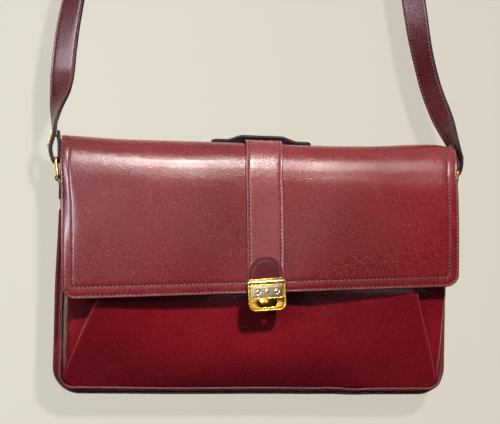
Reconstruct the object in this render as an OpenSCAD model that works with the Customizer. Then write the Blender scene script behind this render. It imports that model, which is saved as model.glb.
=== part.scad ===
// Flap-over leather shoulder bag, hanging by its strap.
// The pieces are drawn in the bag's own coordinates: x to the right, y to the back with the back
// face at 0, z up from the lowest point. in_frame() then moves them so that the point on which
// the strap hangs is the origin.

/* [Bag] */
// Width over the back piping
bag_w = 396; // [340:1:460]
// Height of the closed bag, from the bottom piping to the crest of the flap
bag_h = 250; // [240:1:290]
// Depth from the back face to the front of the flap
bag_depth = 60; // [56:0.5:80]
// Radius of the two bottom corners at the back
corner_r = 27; // [20:1:50]
// Thickness of the shell leather
leather_t = 2; // [1.4:0.1:2.4]

/* [Piping and edge strip] */
// Radius of the back piping
back_bead_r = 2.2; // [1.8:0.1:2.6]
// Radius of the front piping
front_bead_r = 1.6; // [1.2:0.1:2]
// How far the front piping lies inside the back piping
bead_inset = 5.4; // [4.6:0.1:7]
// How far the front piping lies in front of the back piping
bead_step = 9.5; // [8.5:0.1:13]
// Radius of the two bottom corners at the front piping
front_corner_r = 14; // [9:1:24]
// Distance from the crest down to the top ends of the front piping and the edge strip
strip_drop = 72; // [66:1:100]
// Thickness of the edge strip
strip_t = 1.6; // [1:0.1:2.2]

/* [Front panel and gussets] */
// Gap between the front panel's fullest part and the front of the flap
belly_gap = 7; // [6:0.5:12]
// Height at which the front panel is fullest
belly_z = 122; // [110:1:150]
// How far the creases lie inside the sides of the bag, above the gores
gore_w = 40; // [30:1:60]
// Height at which the creases leave the side seams
crease_foot = 16; // [14:1:30]
// Height at which the creases turn upright
crease_z = 100; // [80:1:130]
// Distance from the crest down to the mouth of the bag
mouth_drop = 25; // [23:1:40]
// Thickness of the gusset leather
gusset_t = 1.4; // [1:0.1:2]
// Height of the binding along the mouth
binding_h = 3; // [2:0.5:5]
// How far the binding stands out from the front panel on each face
binding_lip = 1; // [0.5:0.1:1.5]
// Thickness of the lining
lining_t = 0.8; // [0.6:0.1:1.2]
// Thickness of the divider between the two compartments
divider_t = 1.6; // [1.2:0.1:2.4]

/* [Flap] */
// How far the sides of the flap lie inside the sides of the bag
flap_margin = 5; // [3.5:0.1:8]
// Height of the lower edge of the flap
flap_bottom = 104; // [98:0.5:112]
// Thickness of the flap leather
flap_t = 2.4; // [1.8:0.1:3]
// Radius of the bend between the top and the front
bend_r = 32; // [24:1:36]
// How far the back edge of the flap lies below its crest
flap_sag = 7; // [5:0.5:9]
// Radius of the lower corners of the flap
flap_corner_r = 13; // [8:1:24]
// Width of the middle band
band_w = 36; // [30:1:40]
// Thickness of the middle band
band_t = 1.6; // [1.2:0.1:2]

/* [Lock] */
// Width of the lock plate
lock_w = 38.5; // [36:0.5:46]
// Height of the lock plate
lock_h = 28; // [27:0.5:34]
// Thickness of the lock plate
lock_t = 2; // [1.4:0.1:2.4]
// How far the lock plate reaches below the flap
lock_below = 17.5; // [16.5:0.5:19]
// Length of the slot in the lock plate
slot_w = 19.5; // [18:0.5:24]
// Height of the slot
slot_h = 8.6; // [8.4:0.1:9.2]
// Height from the bottom edge of the plate to the middle of the slot
slot_up = 8.2; // [7:0.1:9]
// Length of the turning knob
knob_l = 14; // [11:0.5:16]
// Width of the turning knob
knob_w = 4.8; // [4.2:0.1:5]
// Height of the knob's dome
knob_t = 3.2; // [2.4:0.1:4]
// Radius of the knob's shaft
shaft_r = 1.6; // [1.2:0.1:1.8]
// Running clearance between the shaft and its bore
shaft_clear = 0.05; // [0.03:0.01:0.08]

/* [Handle] */
// Length of the top handle
handle_l = 100; // [90:1:150]
// Width of the top handle
handle_w = 20; // [14:1:21]
// Thickness of the top handle
handle_t = 3; // [2.4:0.1:4]
// Height of the handle's underside above the crest of the flap
handle_rise = 2.8; // [2.4:0.1:12]

/* [Shoulder strap] */
// Width of the strap
strap_w = 25; // [18:0.5:26]
// Thickness of the strap
strap_t = 3.4; // [2.4:0.1:4]
// Height from the rings to the point on which the strap hangs
strap_drop = 540; // [400:5:640]
// How far the hanging point lies to the left of the bag's middle
strap_lean = 12; // [0:1:16]
// Wire radius of the rings
ring_wire_r = 1.6; // [1.2:0.1:2]
// Outer height of the rings
ring_h = 22; // [20:0.5:26]
// Free play of the strap inside the rings, at each edge of the strap
ring_play = 0.8; // [0.5:0.1:2]
// Distance from the side of the bag out to the middle of the rings
ring_out = 2.1; // [2:0.1:6]
// Distance of the middle of the rings in front of the back face
ring_y = 13; // [12.5:0.5:15]
// Distance from the crest down to the top bars of the rings
ring_drop = 22; // [20:0.5:26]

/* [Hidden] */
$fn = 48;

burgundy = [0.43, 0.12, 0.14];
dark_edge = [0.12, 0.05, 0.06];
lining_red = [0.36, 0.14, 0.14];
gold = [0.80, 0.62, 0.25];
silver = [0.78, 0.76, 0.72];

// Gap between faces that lie against each other, and a wider one between bodies that move
fit_gap = 0.1;
move_gap = 0.35;

half_w = bag_w / 2;
mouth_z = bag_h - mouth_drop;
strip_top = bag_h - strip_drop;
ring_z = bag_h - ring_drop;
ring_x = half_w + ring_out;

// Paths of the two pipings: distance from the middle, depth and lowest height
back_path_w = half_w - back_bead_r;
back_path_y = back_bead_r;
front_path_w = half_w - bead_inset - front_bead_r;
front_path_y = back_path_y + bead_step;
front_path_z = bead_inset + front_bead_r;

// The back panel ends just under the rolled back edge of the flap, on whose axis the flap turns
hinge_y = back_path_y;
hinge_z = bag_h - flap_sag;
roll_r = flap_t / 2;
back_top = hinge_z - roll_r - move_gap;
back_inner = back_path_y + leather_t / 2;

// Front panel: depth of its outer face at a height, and distance of its crease from the middle
panel_z0 = front_path_z + front_bead_r + fit_gap;
panel_d0 = front_path_y + leather_t / 2;
belly_depth = bag_depth - belly_gap;
crease_w = half_w - gore_w;
function panel_depth(z) = panel_d0 + (belly_depth - panel_d0)
    * sin(90 * min(1, max(0, z - panel_z0) / (belly_z - panel_z0)));
function crease_at(z) = gusset_edge_w + (crease_w - gusset_edge_w)
    * min(1, max(0, z - crease_foot) / (crease_z - crease_foot));
// The front panel's side edges keep clear of the gussets, whose thickness lies inwards
function panel_edge(z) = crease_at(z) - (z > crease_foot ? gusset_t : 0);
// Shares of the way from the seam to the crease at which a gusset has its shoulder
shoulder_in = 0.16;
shoulder_out = 0.7;
function divider_depth(z) = (panel_depth(z) - leather_t + back_inner) / 2;
gusset_rows = concat(
    [for (i = [0.2, 1, 2, 3, 4, 5]) crease_foot + (crease_z - crease_foot) * i / 6],
    [for (i = [0:6]) crease_z + (mouth_z - crease_z) * i / 6]);
panel_rows = concat([panel_z0, crease_foot], gusset_rows);
gusset_edge_w = front_path_w - front_bead_r - fit_gap;

side_top_lap = 4;
lining_margin = 14;
divider_low = 32;
divider_drop = 8;

// Flap: its outer face seen from the side, moved inwards by an amount
flap_half = half_w - flap_margin;
bend_y = bag_depth - bend_r;
function flap_face(inset, low, back) = concat(
    [for (i = [0:6]) let (y = back + (bend_y - back) * i / 6)
        [y, bag_h - flap_sag_at(y) - inset]],
    [for (a = [82:-8:2]) [bend_y + (bend_r - inset) * cos(a), bag_h - bend_r + (bend_r - inset) * sin(a)]],
    [[bag_depth - inset, bag_h - bend_r], [bag_depth - inset, low]]);
function flap_sag_at(y) = (flap_sag - roll_r) * pow((bend_y - y) / (bend_y - hinge_y), 2);
function reversed(v) = [for (i = [len(v) - 1:-1:0]) v[i]];

// Lock: heights and depths of its layers, from the flap outwards
band_face = bag_depth + fit_gap + band_t;
tab_t = band_t;
tab_face = band_face + fit_gap + tab_t;
tab_top = flap_bottom + 37;
lock_bottom = flap_bottom - lock_below;
slot_z = lock_bottom + slot_up;
lock_back = tab_face + fit_gap;
lock_face = lock_back + lock_t;
inset_t = 0.8;
inset_w = lock_w - 6;
inset_h = 12;
inset_z = slot_z + slot_h / 2 + 1.2 + inset_h / 2;

// The knob rides high in its slot, so that the plate clears it as the flap swings up
knob_z = slot_z + slot_h / 2 - knob_w / 2 - 0.4;
knob_back = lock_face + inset_t + move_gap;
base_t = 1.2;
base_w = 26;
base_h = 17;
base_back = panel_depth(knob_z + base_h / 2) + fit_gap;
base_face = base_back + base_t;
post_r = 3.8;
post_face = lock_back - 2 * move_gap;

knob_dome_r = 12;
tab_r = band_w / 2 - 1;
lock_corner_r = 7;
lock_roll_r = 1.6;
lock_rivet_x = lock_w / 4;
lock_rivet_r = 1.2;
lock_head_r = 2.4;
lock_head_t = 1.2;
inset_boss_r = 2.2;
inset_boss_t = 0.3;
back_plate_t = 0.8;
back_plate_back = bag_depth - flap_t - lining_t - 3 * fit_gap - back_plate_t;

// Base of the lock on the front panel, and its washer and clip inside
base_rivet_x = base_w / 2 - 4;
base_rivet_r = 1.2;
shaft_hole_gap = 0.6;
washer_t = 0.8;
washer_back = panel_depth(knob_z - base_h / 2) - leather_t - fit_gap - washer_t;
clip_t = 0.8;
clip_back = washer_back - 2 * fit_gap - clip_t;

// Handle: its underside over the flap's top, and its rivets
handle_y = hinge_y + 1 + handle_w / 2;
handle_slope = 2 * flap_sag_at(handle_y) / (bend_y - handle_y);
handle_tilt = atan(handle_slope);
handle_foot = 14;
handle_ramp = 17;
handle_up = handle_rise + flap_sag_at(handle_y);
function handle_at(x) = fit_gap + handle_up * smooth((handle_l / 2 - handle_foot - abs(x)) / handle_ramp);
handle_xs = [for (i = [-20:20]) handle_l / 2 * i / 20];
handle_rivet_r = 1.5;
handle_head_r = 3.4;
handle_head_t = 1.2;
handle_grip = flap_t + lining_t + 0.5 + washer_t;

// The rings lean, so their lower bars lie nearer to the bag than their top bars
ring_tilt = 8;
ring_corner_r = 3;
ring_span = ring_h - 2 * ring_wire_r;
ring_w = strap_w + 2 * ring_play + 2 * ring_wire_r;
ring_low_x = ring_x - ring_span * sin(ring_tilt);
ring_low_z = ring_z - ring_span * cos(ring_tilt);

// Tabs: a strip folded round the lower bar, which turns on a rivet in a boss on the gusset
tab_w = 15;
tab_layer = 1.1;
tab_eye_r = ring_wire_r + 0.2;
tab_drop = 13;
neck_low = 6;
tab_in = half_w - flap_margin + move_gap;
tab_out = tab_in + 2 * tab_layer;
boss_in = gusset_edge_w + fit_gap;
boss_out = tab_in - fit_gap;
boss_r = 8;
rivet_z = ring_low_z - tab_drop;
rivet_r = 2;
rivet_clear = 0.05;
rivet_head_r = 4;
rivet_head_t = 1;

// The strap's loop round the top bar: distances outwards and upwards from the bar's middle. The
// strap pulls the right loop over towards the middle of the bag.
right_lean = 5;
bar_turn_r = ring_wire_r + strap_t / 2 + 0.2;
loop_tail = [[-1.4, 27], [-3.2, 14]];
loop_turn = [for (a = [180:30:360]) [bar_turn_r * cos(a), bar_turn_r * sin(a)]];
loop_out = [[5.2, 5], [5.9, 11], [4.3, 18], [2.2, 27]];
loop_points = concat(loop_tail, loop_turn, loop_out);
loop_end = loop_out[3];

// The strap above its loops: an arch that leans to the left and lies behind the open flap. It has
// settled on the arch at a height above the bars, which is greater on the right.
arch_power = 2.63;
arch_steps = 56;
arch_first = acos(pow(1 - (loop_end[1] + 5) / strap_drop, 1 / arch_power));
left_settle = 80;
right_settle = 100;
strap_y = 6.5;
function smooth(t) = let (c = min(1, max(0, t))) c * c * (3 - 2 * c);
function mix(a, b, t) = a + (b - a) * t;
function lean_at(up) = strap_lean * sin(90 * min(1, max(0, up - 20) / 130));
function lean_of(side) = side > 0 ? right_lean : 0;
function leaned(side, p) = let (a = lean_of(side))
    [p[0] * cos(a) - p[1] * sin(a), p[0] * sin(a) + p[1] * cos(a)];
function arch_point(phi) = let (
        s = -cos(phi),
        up = strap_drop * (1 - pow(abs(s), arch_power)),
        settle = s < 0 ? left_settle : right_settle,
        near = smooth((up - loop_end[1]) / (settle - loop_end[1])))
    [mix(sign(s) * (ring_x + leaned(s, loop_end)[0]), ring_x * s - lean_at(up), near),
     mix(-ring_y, strap_y, smooth((up - 20) / 70)),
     ring_z + up];
function loop_route(side, v) = [for (p = v) let (q = leaned(side, p))
    [side * (ring_x + q[0]), -ring_y, ring_z + q[1]]];
strap_route = concat(
    loop_route(-1, loop_points),
    [for (i = [0:arch_steps]) arch_point(mix(arch_first, 180 - arch_first, i / arch_steps))],
    loop_route(1, reversed(loop_points)));

// The strap's width lies along y at the rings and at the hanging point. Between them the left leg
// turns its outer face to the front, and the right leg turns its inner face there.
left_turn = 65;
right_turn = 52;
function turn_at(side, up) = side < 0
    ? left_turn * smooth((up - 22) / 68) * (1 - smooth((up / strap_drop - 0.17) / 0.5))
    : -right_turn * smooth((up - 27) / 115) * (1 - smooth((up / strap_drop - 0.4) / 0.5));
hang_point = [-strap_lean, strap_y, ring_z + strap_drop - strap_t / 2];

// Plates on the outer face of the strap's loops, each held by two rivets through both layers
plate_t = 0.9;
plate_w = 20;
plate_h = 16;
plate_gap = 0.4;
plate_foot = loop_out[1];
plate_head = loop_out[3];
plate_tilt = atan((plate_foot[0] - plate_head[0]) / (plate_head[1] - plate_foot[1]));
plate_mid = (plate_foot + plate_head) / 2;
plate_rivet_r = 1.2;
plate_rivet_gap = 10;
plate_rivet_up = 4;

// ---- Shared shapes ----

module in_frame() {
    translate(-hang_point) children();
}

module both_sides() {
    for (side = [0, 1]) mirror([side, 0, 0]) children();
}

module side_of(side) {
    mirror([side < 0 ? 1 : 0, 0, 0]) children();
}

// Front view of a panel with rounded bottom corners
module u_outline(w, low, high, r) {
    translate([-w, low + r]) square([2 * w, high - low - r]);
    translate([-w + r, low]) square([2 * (w - r), r + 1]);
    for (side = [-1, 1]) translate([side * (w - r), low + r]) circle(r);
}

// Points [x, height] along the sides and bottom of the bag, from the left to the right
function u_points(w, low, high, r) = concat(
    [[-w, high]],
    [for (a = [180:10:270]) [-(w - r) + r * cos(a), low + r + r * sin(a)]],
    [for (a = [270:10:360]) [w - r + r * cos(a), low + r + r * sin(a)]],
    [[w, high]]);

// A plate between two depths with a given front view
module slab(y_front, y_back) {
    translate([0, -y_back, 0]) rotate([90, 0, 0]) linear_extrude(y_front - y_back) children();
}

// A profile carried round the sides and bottom of the bag. Its first axis points outwards from
// the path, and its second axis points to the front.
module u_run(w, low, high, r) {
    both_sides() {
        translate([w, 0, low + r]) linear_extrude(high - low - r) mirror([0, 1]) children();
        translate([w - r, 0, low + r]) rotate([90, 0, 0]) rotate([0, 0, -90])
            rotate_extrude(angle = 90) translate([r, 0]) children();
    }
    translate([0, 0, low]) rotate([0, 90, 0])
        linear_extrude(2 * (w - r), center = true) mirror([0, 1]) children();
}

// A sheet seen from the side: a band between two lines of [depth, height], along x
module side_band(outer, inner, w) {
    rotate([90, 0, 90]) linear_extrude(w, center = true)
        polygon([for (p = concat(outer, reversed(inner))) [-p[0], p[1]]]);
}

// A solid through closed loops of points, with flat ends
module loft(loops) {
    n = len(loops[0]);
    last = len(loops) - 1;
    polyhedron(
        points = [for (l = loops) for (p = l) p],
        faces = concat(
            [[for (j = [0:n - 1]) j]],
            [for (i = [0:last - 1]) for (j = [0:n - 1])
                [i * n + j, (i + 1) * n + j, (i + 1) * n + (j + 1) % n, i * n + (j + 1) % n]],
            [[for (j = [n - 1:-1:0]) last * n + j]]));
}

// A low dome whose flat back lies at the origin and which rises along +z
module dome(r, t) {
    intersection() {
        translate([0, 0, t - (r * r + t * t) / (2 * t)]) sphere((r * r + t * t) / (2 * t));
        cylinder(r = r + 1, h = t + 1);
    }
}

// ---- Body of the bag ----

module back_panel() {
    in_frame() color(burgundy)
        slab(back_inner, back_inner - leather_t)
            u_outline(back_path_w - back_bead_r - fit_gap, 2 * back_bead_r + fit_gap, back_top,
                corner_r - 2 * back_bead_r);
}

module back_piping() {
    in_frame() color(dark_edge)
        u_run(back_path_w, back_bead_r, strip_top, corner_r - back_bead_r)
            translate([0, back_path_y]) circle(back_bead_r);
}

module front_piping() {
    in_frame() color(dark_edge)
        u_run(front_path_w, front_path_z, strip_top, front_corner_r - front_bead_r)
            translate([0, front_path_y]) circle(front_bead_r);
}

// The strip slants from the back piping to the front piping, whose corners are tighter
module edge_strip() {
    back = u_points(back_path_w, back_bead_r, strip_top, corner_r - back_bead_r);
    front = u_points(front_path_w, front_path_z, strip_top, front_corner_r - front_bead_r);
    back_y = -2 * back_bead_r - fit_gap;
    front_y = -front_path_y + front_bead_r + fit_gap;
    in_frame() color(burgundy) loft([for (i = [0:len(back) - 1]) let (
            d = back[min(i + 1, len(back) - 1)] - back[max(i - 1, 0)],
            out = [d[1], 0, -d[0]] / norm(d) * strip_t / 2,
            b = [back[i][0], back_y, back[i][1]],
            f = [front[i][0], front_y, front[i][1]])
        [b + out, b - out, f - out, f + out]]);
}

// The front and the gussets end inside the front piping
module inside_front_piping() {
    slab(bag_depth, 0) u_outline(gusset_edge_w, panel_z0, bag_h, front_corner_r - 2 * front_bead_r);
}

module front_panel() {
    outline = concat([for (z = panel_rows) [panel_edge(z), z]],
        [for (z = reversed(panel_rows)) [-panel_edge(z), z]]);
    in_frame() color(burgundy) difference() {
        intersection() {
            side_band([for (z = panel_rows) [panel_depth(z), z]],
                [for (z = panel_rows) [panel_depth(z) - leather_t, z]], bag_w);
            slab(bag_depth, 0) polygon(outline);
            inside_front_piping();
        }
        slab(bag_depth, 0) translate([0, knob_z]) circle(shaft_r + shaft_hole_gap);
    }
}

// A gusset runs forwards from the front piping to a shoulder, and from there across to the
// crease. Its thickness lies inwards.
module gusset(side) {
    seam_y = -panel_d0 + leather_t / 2;
    function inward(run) = gusset_t * [run[1], -run[0], 0] / norm([run[0], run[1]]);
    in_frame() color(burgundy) side_of(side)
        loft([for (z = gusset_rows) let (
                seam = [gusset_edge_w, seam_y, z],
                crease = [crease_at(z) + 2 * fit_gap, -panel_depth(z), z],
                shoulder = [mix(seam[0], crease[0], shoulder_in), mix(seam[1], crease[1], shoulder_out), z],
                in_seam = inward(shoulder - seam),
                in_crease = inward(crease - shoulder))
            [seam, shoulder, crease, crease + in_crease, shoulder + (in_seam + in_crease) / 2,
                seam + in_seam]]);
}

module gusset_left() { gusset(-1); }
module gusset_right() { gusset(1); }

// Above the edge strip, a plain strip joins each gusset to the back panel
module side_top(side) {
    front = panel_d0 - leather_t / 2 - gusset_t - fit_gap;
    in_frame() color(burgundy) side_of(side)
        translate([gusset_edge_w - gusset_t, -front, strip_top - side_top_lap])
            cube([gusset_t, front - back_inner - fit_gap, mouth_z - strip_top + side_top_lap]);
}

module side_top_left() { side_top(-1); }
module side_top_right() { side_top(1); }

module mouth_binding() {
    in_frame() color(dark_edge)
        translate([-crease_w, -belly_depth - binding_lip, mouth_z + fit_gap])
            cube([2 * crease_w, leather_t + 2 * binding_lip, binding_h]);
}

module back_lining() {
    in_frame() color(lining_red)
        slab(back_inner + fit_gap + lining_t, back_inner + fit_gap)
            u_outline(half_w - lining_margin, lining_margin, mouth_z, corner_r - lining_margin / 2);
}

module divider() {
    rows = [for (i = [0:12]) divider_low + (mouth_z - divider_drop - divider_low) * i / 12];
    half = divider_t / 2;
    in_frame() color(lining_red)
        side_band([for (z = rows) [divider_depth(z) + half, z]],
            [for (z = rows) [divider_depth(z) - half, z]], 2 * crease_w);
}

// A boss on the gusset's edge, in which the tab's rivet is fixed
module tab_boss(side) {
    in_frame() color(burgundy) side_of(side)
        translate([boss_in, -ring_y, rivet_z]) rotate([0, 90, 0]) difference() {
            cylinder(r = boss_r, h = boss_out - boss_in);
            translate([0, 0, -1]) cylinder(r = rivet_r, h = boss_out - boss_in + 2);
        }
}

module tab_mount_left() { tab_boss(-1); }
module tab_mount_right() { tab_boss(1); }

module tab_rivet(side) {
    in_frame() color(gold) side_of(side)
        translate([boss_in, -ring_y, rivet_z]) rotate([0, 90, 0]) {
            cylinder(r = rivet_r, h = tab_out + fit_gap - boss_in);
            translate([0, 0, tab_out + fit_gap - boss_in]) cylinder(r = rivet_head_r, h = rivet_head_t);
        }
}

module tab_rivet_left() { tab_rivet(-1); }
module tab_rivet_right() { tab_rivet(1); }

// The lock's base stands on the front panel, and its post carries the knob's shaft
module lock_base() {
    in_frame() color(gold) translate([0, 0, knob_z]) rotate([90, 0, 0]) difference() {
        union() {
            translate([0, 0, base_back]) linear_extrude(base_t) offset_rect(base_w, base_h, 4);
            translate([0, 0, base_back]) cylinder(r = post_r, h = post_face - base_back);
        }
        translate([0, 0, base_back - 1]) cylinder(r = shaft_r + shaft_clear, h = post_face - base_back + 2);
        base_holes() cylinder(r = base_rivet_r, h = base_t + 2);
    }
}

// A rectangle with round corners, made of true arcs
module offset_rect(w, h, r) {
    square([w, h - 2 * r], center = true);
    square([w - 2 * r, h], center = true);
    for (x = [-1, 1], y = [-1, 1]) translate([x * (w / 2 - r), y * (h / 2 - r)]) circle(r);
}

module base_holes() {
    for (side = [-1, 1])
        translate([side * base_rivet_x, 0, base_back - 1]) children();
}

module base_rivets() {
    in_frame() color(gold) translate([0, 0, knob_z]) rotate([90, 0, 0])
        for (side = [-1, 1]) translate([side * base_rivet_x, 0, 0]) {
            translate([0, 0, washer_back]) cylinder(r = base_rivet_r, h = base_face + 0.3 - washer_back);
            translate([0, 0, base_face]) dome(base_rivet_r + 0.8, 0.6);
        }
}

module lock_base_washer() {
    in_frame() color(silver) translate([0, 0, knob_z]) rotate([90, 0, 0])
        translate([0, 0, washer_back]) linear_extrude(washer_t) difference() {
            offset_rect(base_w, base_h - 3, 3);
            circle(shaft_r + shaft_hole_gap);
            for (side = [-1, 1]) translate([side * base_rivet_x, 0]) circle(base_rivet_r);
        }
}

// ---- Flap ----

module flap_outline(inset) {
    u_outline(flap_half - inset, flap_bottom + inset, bag_h + 2 * bend_r, flap_corner_r - inset);
}

module flap() {
    in_frame() color(burgundy) {
        intersection() {
            side_band(flap_face(0, flap_bottom, hinge_y), flap_face(flap_t, flap_bottom, hinge_y), bag_w);
            slab(bag_depth + 1, 0) flap_outline(0);
        }
        translate([-flap_half, -hinge_y, hinge_z]) rotate([0, 90, 0])
            cylinder(r = roll_r, h = 2 * flap_half);
    }
}

module flap_lining() {
    outer = flap_t + fit_gap;
    start = hinge_y + 5;
    in_frame() color(lining_red) intersection() {
        side_band(flap_face(outer, flap_bottom, start),
            flap_face(outer + lining_t, flap_bottom, start), bag_w);
        slab(bag_depth + 1, 0) flap_outline(3);
    }
}

module flap_band() {
    start = hinge_y + 3;
    low = flap_bottom + 1;
    in_frame() color(burgundy)
        side_band(flap_face(-fit_gap - band_t, low, start), flap_face(-fit_gap, low, start), band_w);
}

module lock_tab() {
    in_frame() color(burgundy) slab(tab_face, tab_face - tab_t) {
        translate([-tab_r, flap_bottom]) square([2 * tab_r, tab_top - tab_r - flap_bottom]);
        translate([0, tab_top - tab_r]) circle(tab_r);
    }
}

module lock_layer(back, t) {
    in_frame() rotate([90, 0, 0]) translate([0, 0, back]) linear_extrude(t) children();
}

module lock_rivet_spots() {
    for (side = [-1, 1]) translate([side * lock_rivet_x, inset_z]) children();
}

module lock_plate() {
    color(gold) lock_layer(lock_back, lock_t) difference() {
        u_outline(lock_w / 2, lock_bottom, lock_bottom + lock_h, lock_corner_r);
        for (side = [-1, 1]) translate([side * (slot_w - slot_h) / 2, slot_z]) circle(slot_h / 2);
        translate([0, slot_z]) square([slot_w - slot_h, slot_h], center = true);
        lock_rivet_spots() circle(lock_rivet_r);
    }
}

module lock_roll() {
    in_frame() color(gold)
        translate([0, -lock_back - lock_roll_r, lock_bottom + lock_h + lock_roll_r + fit_gap / 2])
            rotate([0, 90, 0]) cylinder(r = lock_roll_r, h = lock_w - 1, center = true);
}

module lock_inset() {
    color(silver) {
        lock_layer(lock_face, inset_t) difference() {
            translate([0, inset_z]) offset_rect(inset_w, inset_h, 1.2);
            lock_rivet_spots() circle(lock_rivet_r);
        }
        lock_layer(lock_face + inset_t, inset_boss_t) translate([0, inset_z]) circle(inset_boss_r);
    }
}

module lock_rivets() {
    in_frame() color(gold) rotate([90, 0, 0]) lock_rivet_spots() {
        translate([0, 0, back_plate_back])
            cylinder(r = lock_rivet_r, h = lock_face + inset_t - back_plate_back);
        translate([0, 0, lock_face + inset_t]) dome(lock_head_r, lock_head_t);
    }
}

module lock_back_plate() {
    color(silver) lock_layer(back_plate_back, back_plate_t) difference() {
        translate([0, inset_z]) offset_rect(inset_w, inset_h, 2);
        lock_rivet_spots() circle(lock_rivet_r);
    }
}

// ---- Top handle ----

// Places a shape on the flap's top, where z is 0 on the leather and rises away from it
module on_flap_top() {
    translate([0, -handle_y, bag_h - flap_sag_at(handle_y)]) rotate([-handle_tilt, 0, 0]) children();
}

module handle_ends() {
    for (side = [-1, 1]) translate([side * (handle_l - handle_foot) / 2, 0, 0]) children();
}

module top_handle() {
    in_frame() color(dark_edge) on_flap_top() difference() {
        translate([0, handle_w / 2, 0]) rotate([90, 0, 0]) linear_extrude(handle_w)
            polygon(concat([for (x = handle_xs) [x, handle_at(x)]],
                [for (x = reversed(handle_xs)) [x, handle_at(x) + handle_t]]));
        handle_ends() translate([0, 0, -1]) cylinder(r = handle_rivet_r, h = handle_t + 3);
    }
}

module handle_rivets() {
    in_frame() color(gold) on_flap_top() handle_ends() {
        translate([0, 0, -handle_grip]) cylinder(r = handle_rivet_r, h = handle_grip + fit_gap + handle_t);
        translate([0, 0, fit_gap + handle_t]) dome(handle_head_r, handle_head_t);
    }
}

module handle_washers() {
    in_frame() color(silver) on_flap_top() handle_ends() translate([0, 0, -handle_grip]) difference() {
        cylinder(r = handle_head_r, h = washer_t);
        translate([0, 0, -1]) cylinder(r = handle_rivet_r, h = washer_t + 2);
    }
}

// ---- Turning knob ----

module turn_knob() {
    in_frame() color(gold) translate([0, 0, knob_z]) rotate([90, 0, 0]) translate([0, 0, knob_back])
        intersection() {
            linear_extrude(knob_t) {
                square([knob_l - knob_w, knob_w], center = true);
                for (side = [-1, 1]) translate([side * (knob_l - knob_w) / 2, 0]) circle(knob_w / 2);
            }
            translate([0, 0, knob_t - knob_dome_r]) sphere(knob_dome_r);
        }
}

module knob_shaft() {
    in_frame() color(gold) translate([0, -knob_back, knob_z]) rotate([-90, 0, 0])
        cylinder(r = shaft_r, h = knob_back - clip_back);
}

module shaft_clip() {
    in_frame() color(silver) translate([0, 0, knob_z]) rotate([90, 0, 0]) translate([0, 0, clip_back])
        difference() {
            cylinder(r = shaft_r + 1.4, h = clip_t);
            translate([0, 0, -1]) cylinder(r = shaft_r, h = clip_t + 2);
        }
}

// ---- Shoulder strap, rings and tabs ----

module strap() {
    last = len(strap_route) - 1;
    in_frame() color(burgundy) loft([for (i = [0:last]) let (
            p = strap_route[i],
            step = strap_route[min(last, i + 1)] - strap_route[max(0, i - 1)],
            along = step / norm(step),
            flat = [0, 1, 0] - along[1] * along,
            across = flat / norm(flat),
            face = cross(along, across),
            turn = turn_at(i < last / 2 ? -1 : 1, p[2] - ring_z),
            w = (cos(turn) * across + sin(turn) * face) * strap_w / 2,
            t = (cos(turn) * face - sin(turn) * across) * strap_t / 2)
        [p + w + t, p - w + t, p - w - t, p + w - t]]);
}

// Places a shape on the outer face of the loop's outer layer, with z pointing away from it
module on_loop(side) {
    in_frame() side_of(side)
        translate([ring_x, -ring_y, ring_z]) rotate([0, -lean_of(side), 0])
            translate([plate_mid[0], 0, plate_mid[1]])
                rotate([0, 90 - plate_tilt, 0]) translate([0, 0, strap_t / 2 + plate_gap]) children();
}

module plate_rivet_spots() {
    for (side = [-1, 1]) translate([-plate_rivet_up, side * plate_rivet_gap / 2]) children();
}

module strap_plate(side) {
    color(gold) on_loop(side) linear_extrude(plate_t) difference() {
        offset_rect(plate_h, plate_w, 1.5);
        plate_rivet_spots() circle(plate_rivet_r);
    }
}

module strap_rivets(side) {
    grip = plate_gap + 2 * strap_t + 2.6;
    color(gold) on_loop(side) plate_rivet_spots() {
        translate([0, 0, -grip]) cylinder(r = plate_rivet_r, h = grip + plate_t);
        translate([0, 0, plate_t]) dome(plate_rivet_r + 0.8, 0.7);
    }
}

module strap_plate_left() { strap_plate(-1); }
module strap_plate_right() { strap_plate(1); }
module strap_rivets_left() { strap_rivets(-1); }
module strap_rivets_right() { strap_rivets(1); }

// A closed wire loop with round corners, lying in the plane of its two sizes
module wire_loop(w, h, r, wire) {
    for (side = [-1, 1]) {
        translate([side * w / 2, 0, 0]) rotate([90, 0, 0]) cylinder(r = wire, h = h - 2 * r, center = true);
        translate([0, side * h / 2, 0]) rotate([0, 90, 0]) cylinder(r = wire, h = w - 2 * r, center = true);
    }
    for (i = [0:3]) let (x = (i == 0 || i == 3) ? 1 : -1, y = i < 2 ? 1 : -1)
        translate([x * (w / 2 - r), y * (h / 2 - r), 0]) rotate([0, 0, 90 * i])
            rotate_extrude(angle = 90) translate([r, 0]) circle(wire);
}

module ring(side) {
    in_frame() color(gold) side_of(side) translate([ring_x, -ring_y, ring_z]) rotate([0, ring_tilt, 0])
        translate([0, 0, -ring_span / 2]) rotate([90, 0, 90])
            wire_loop(ring_w, ring_span, ring_corner_r, ring_wire_r);
}

module ring_left() { ring(-1); }
module ring_right() { ring(1); }

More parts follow.
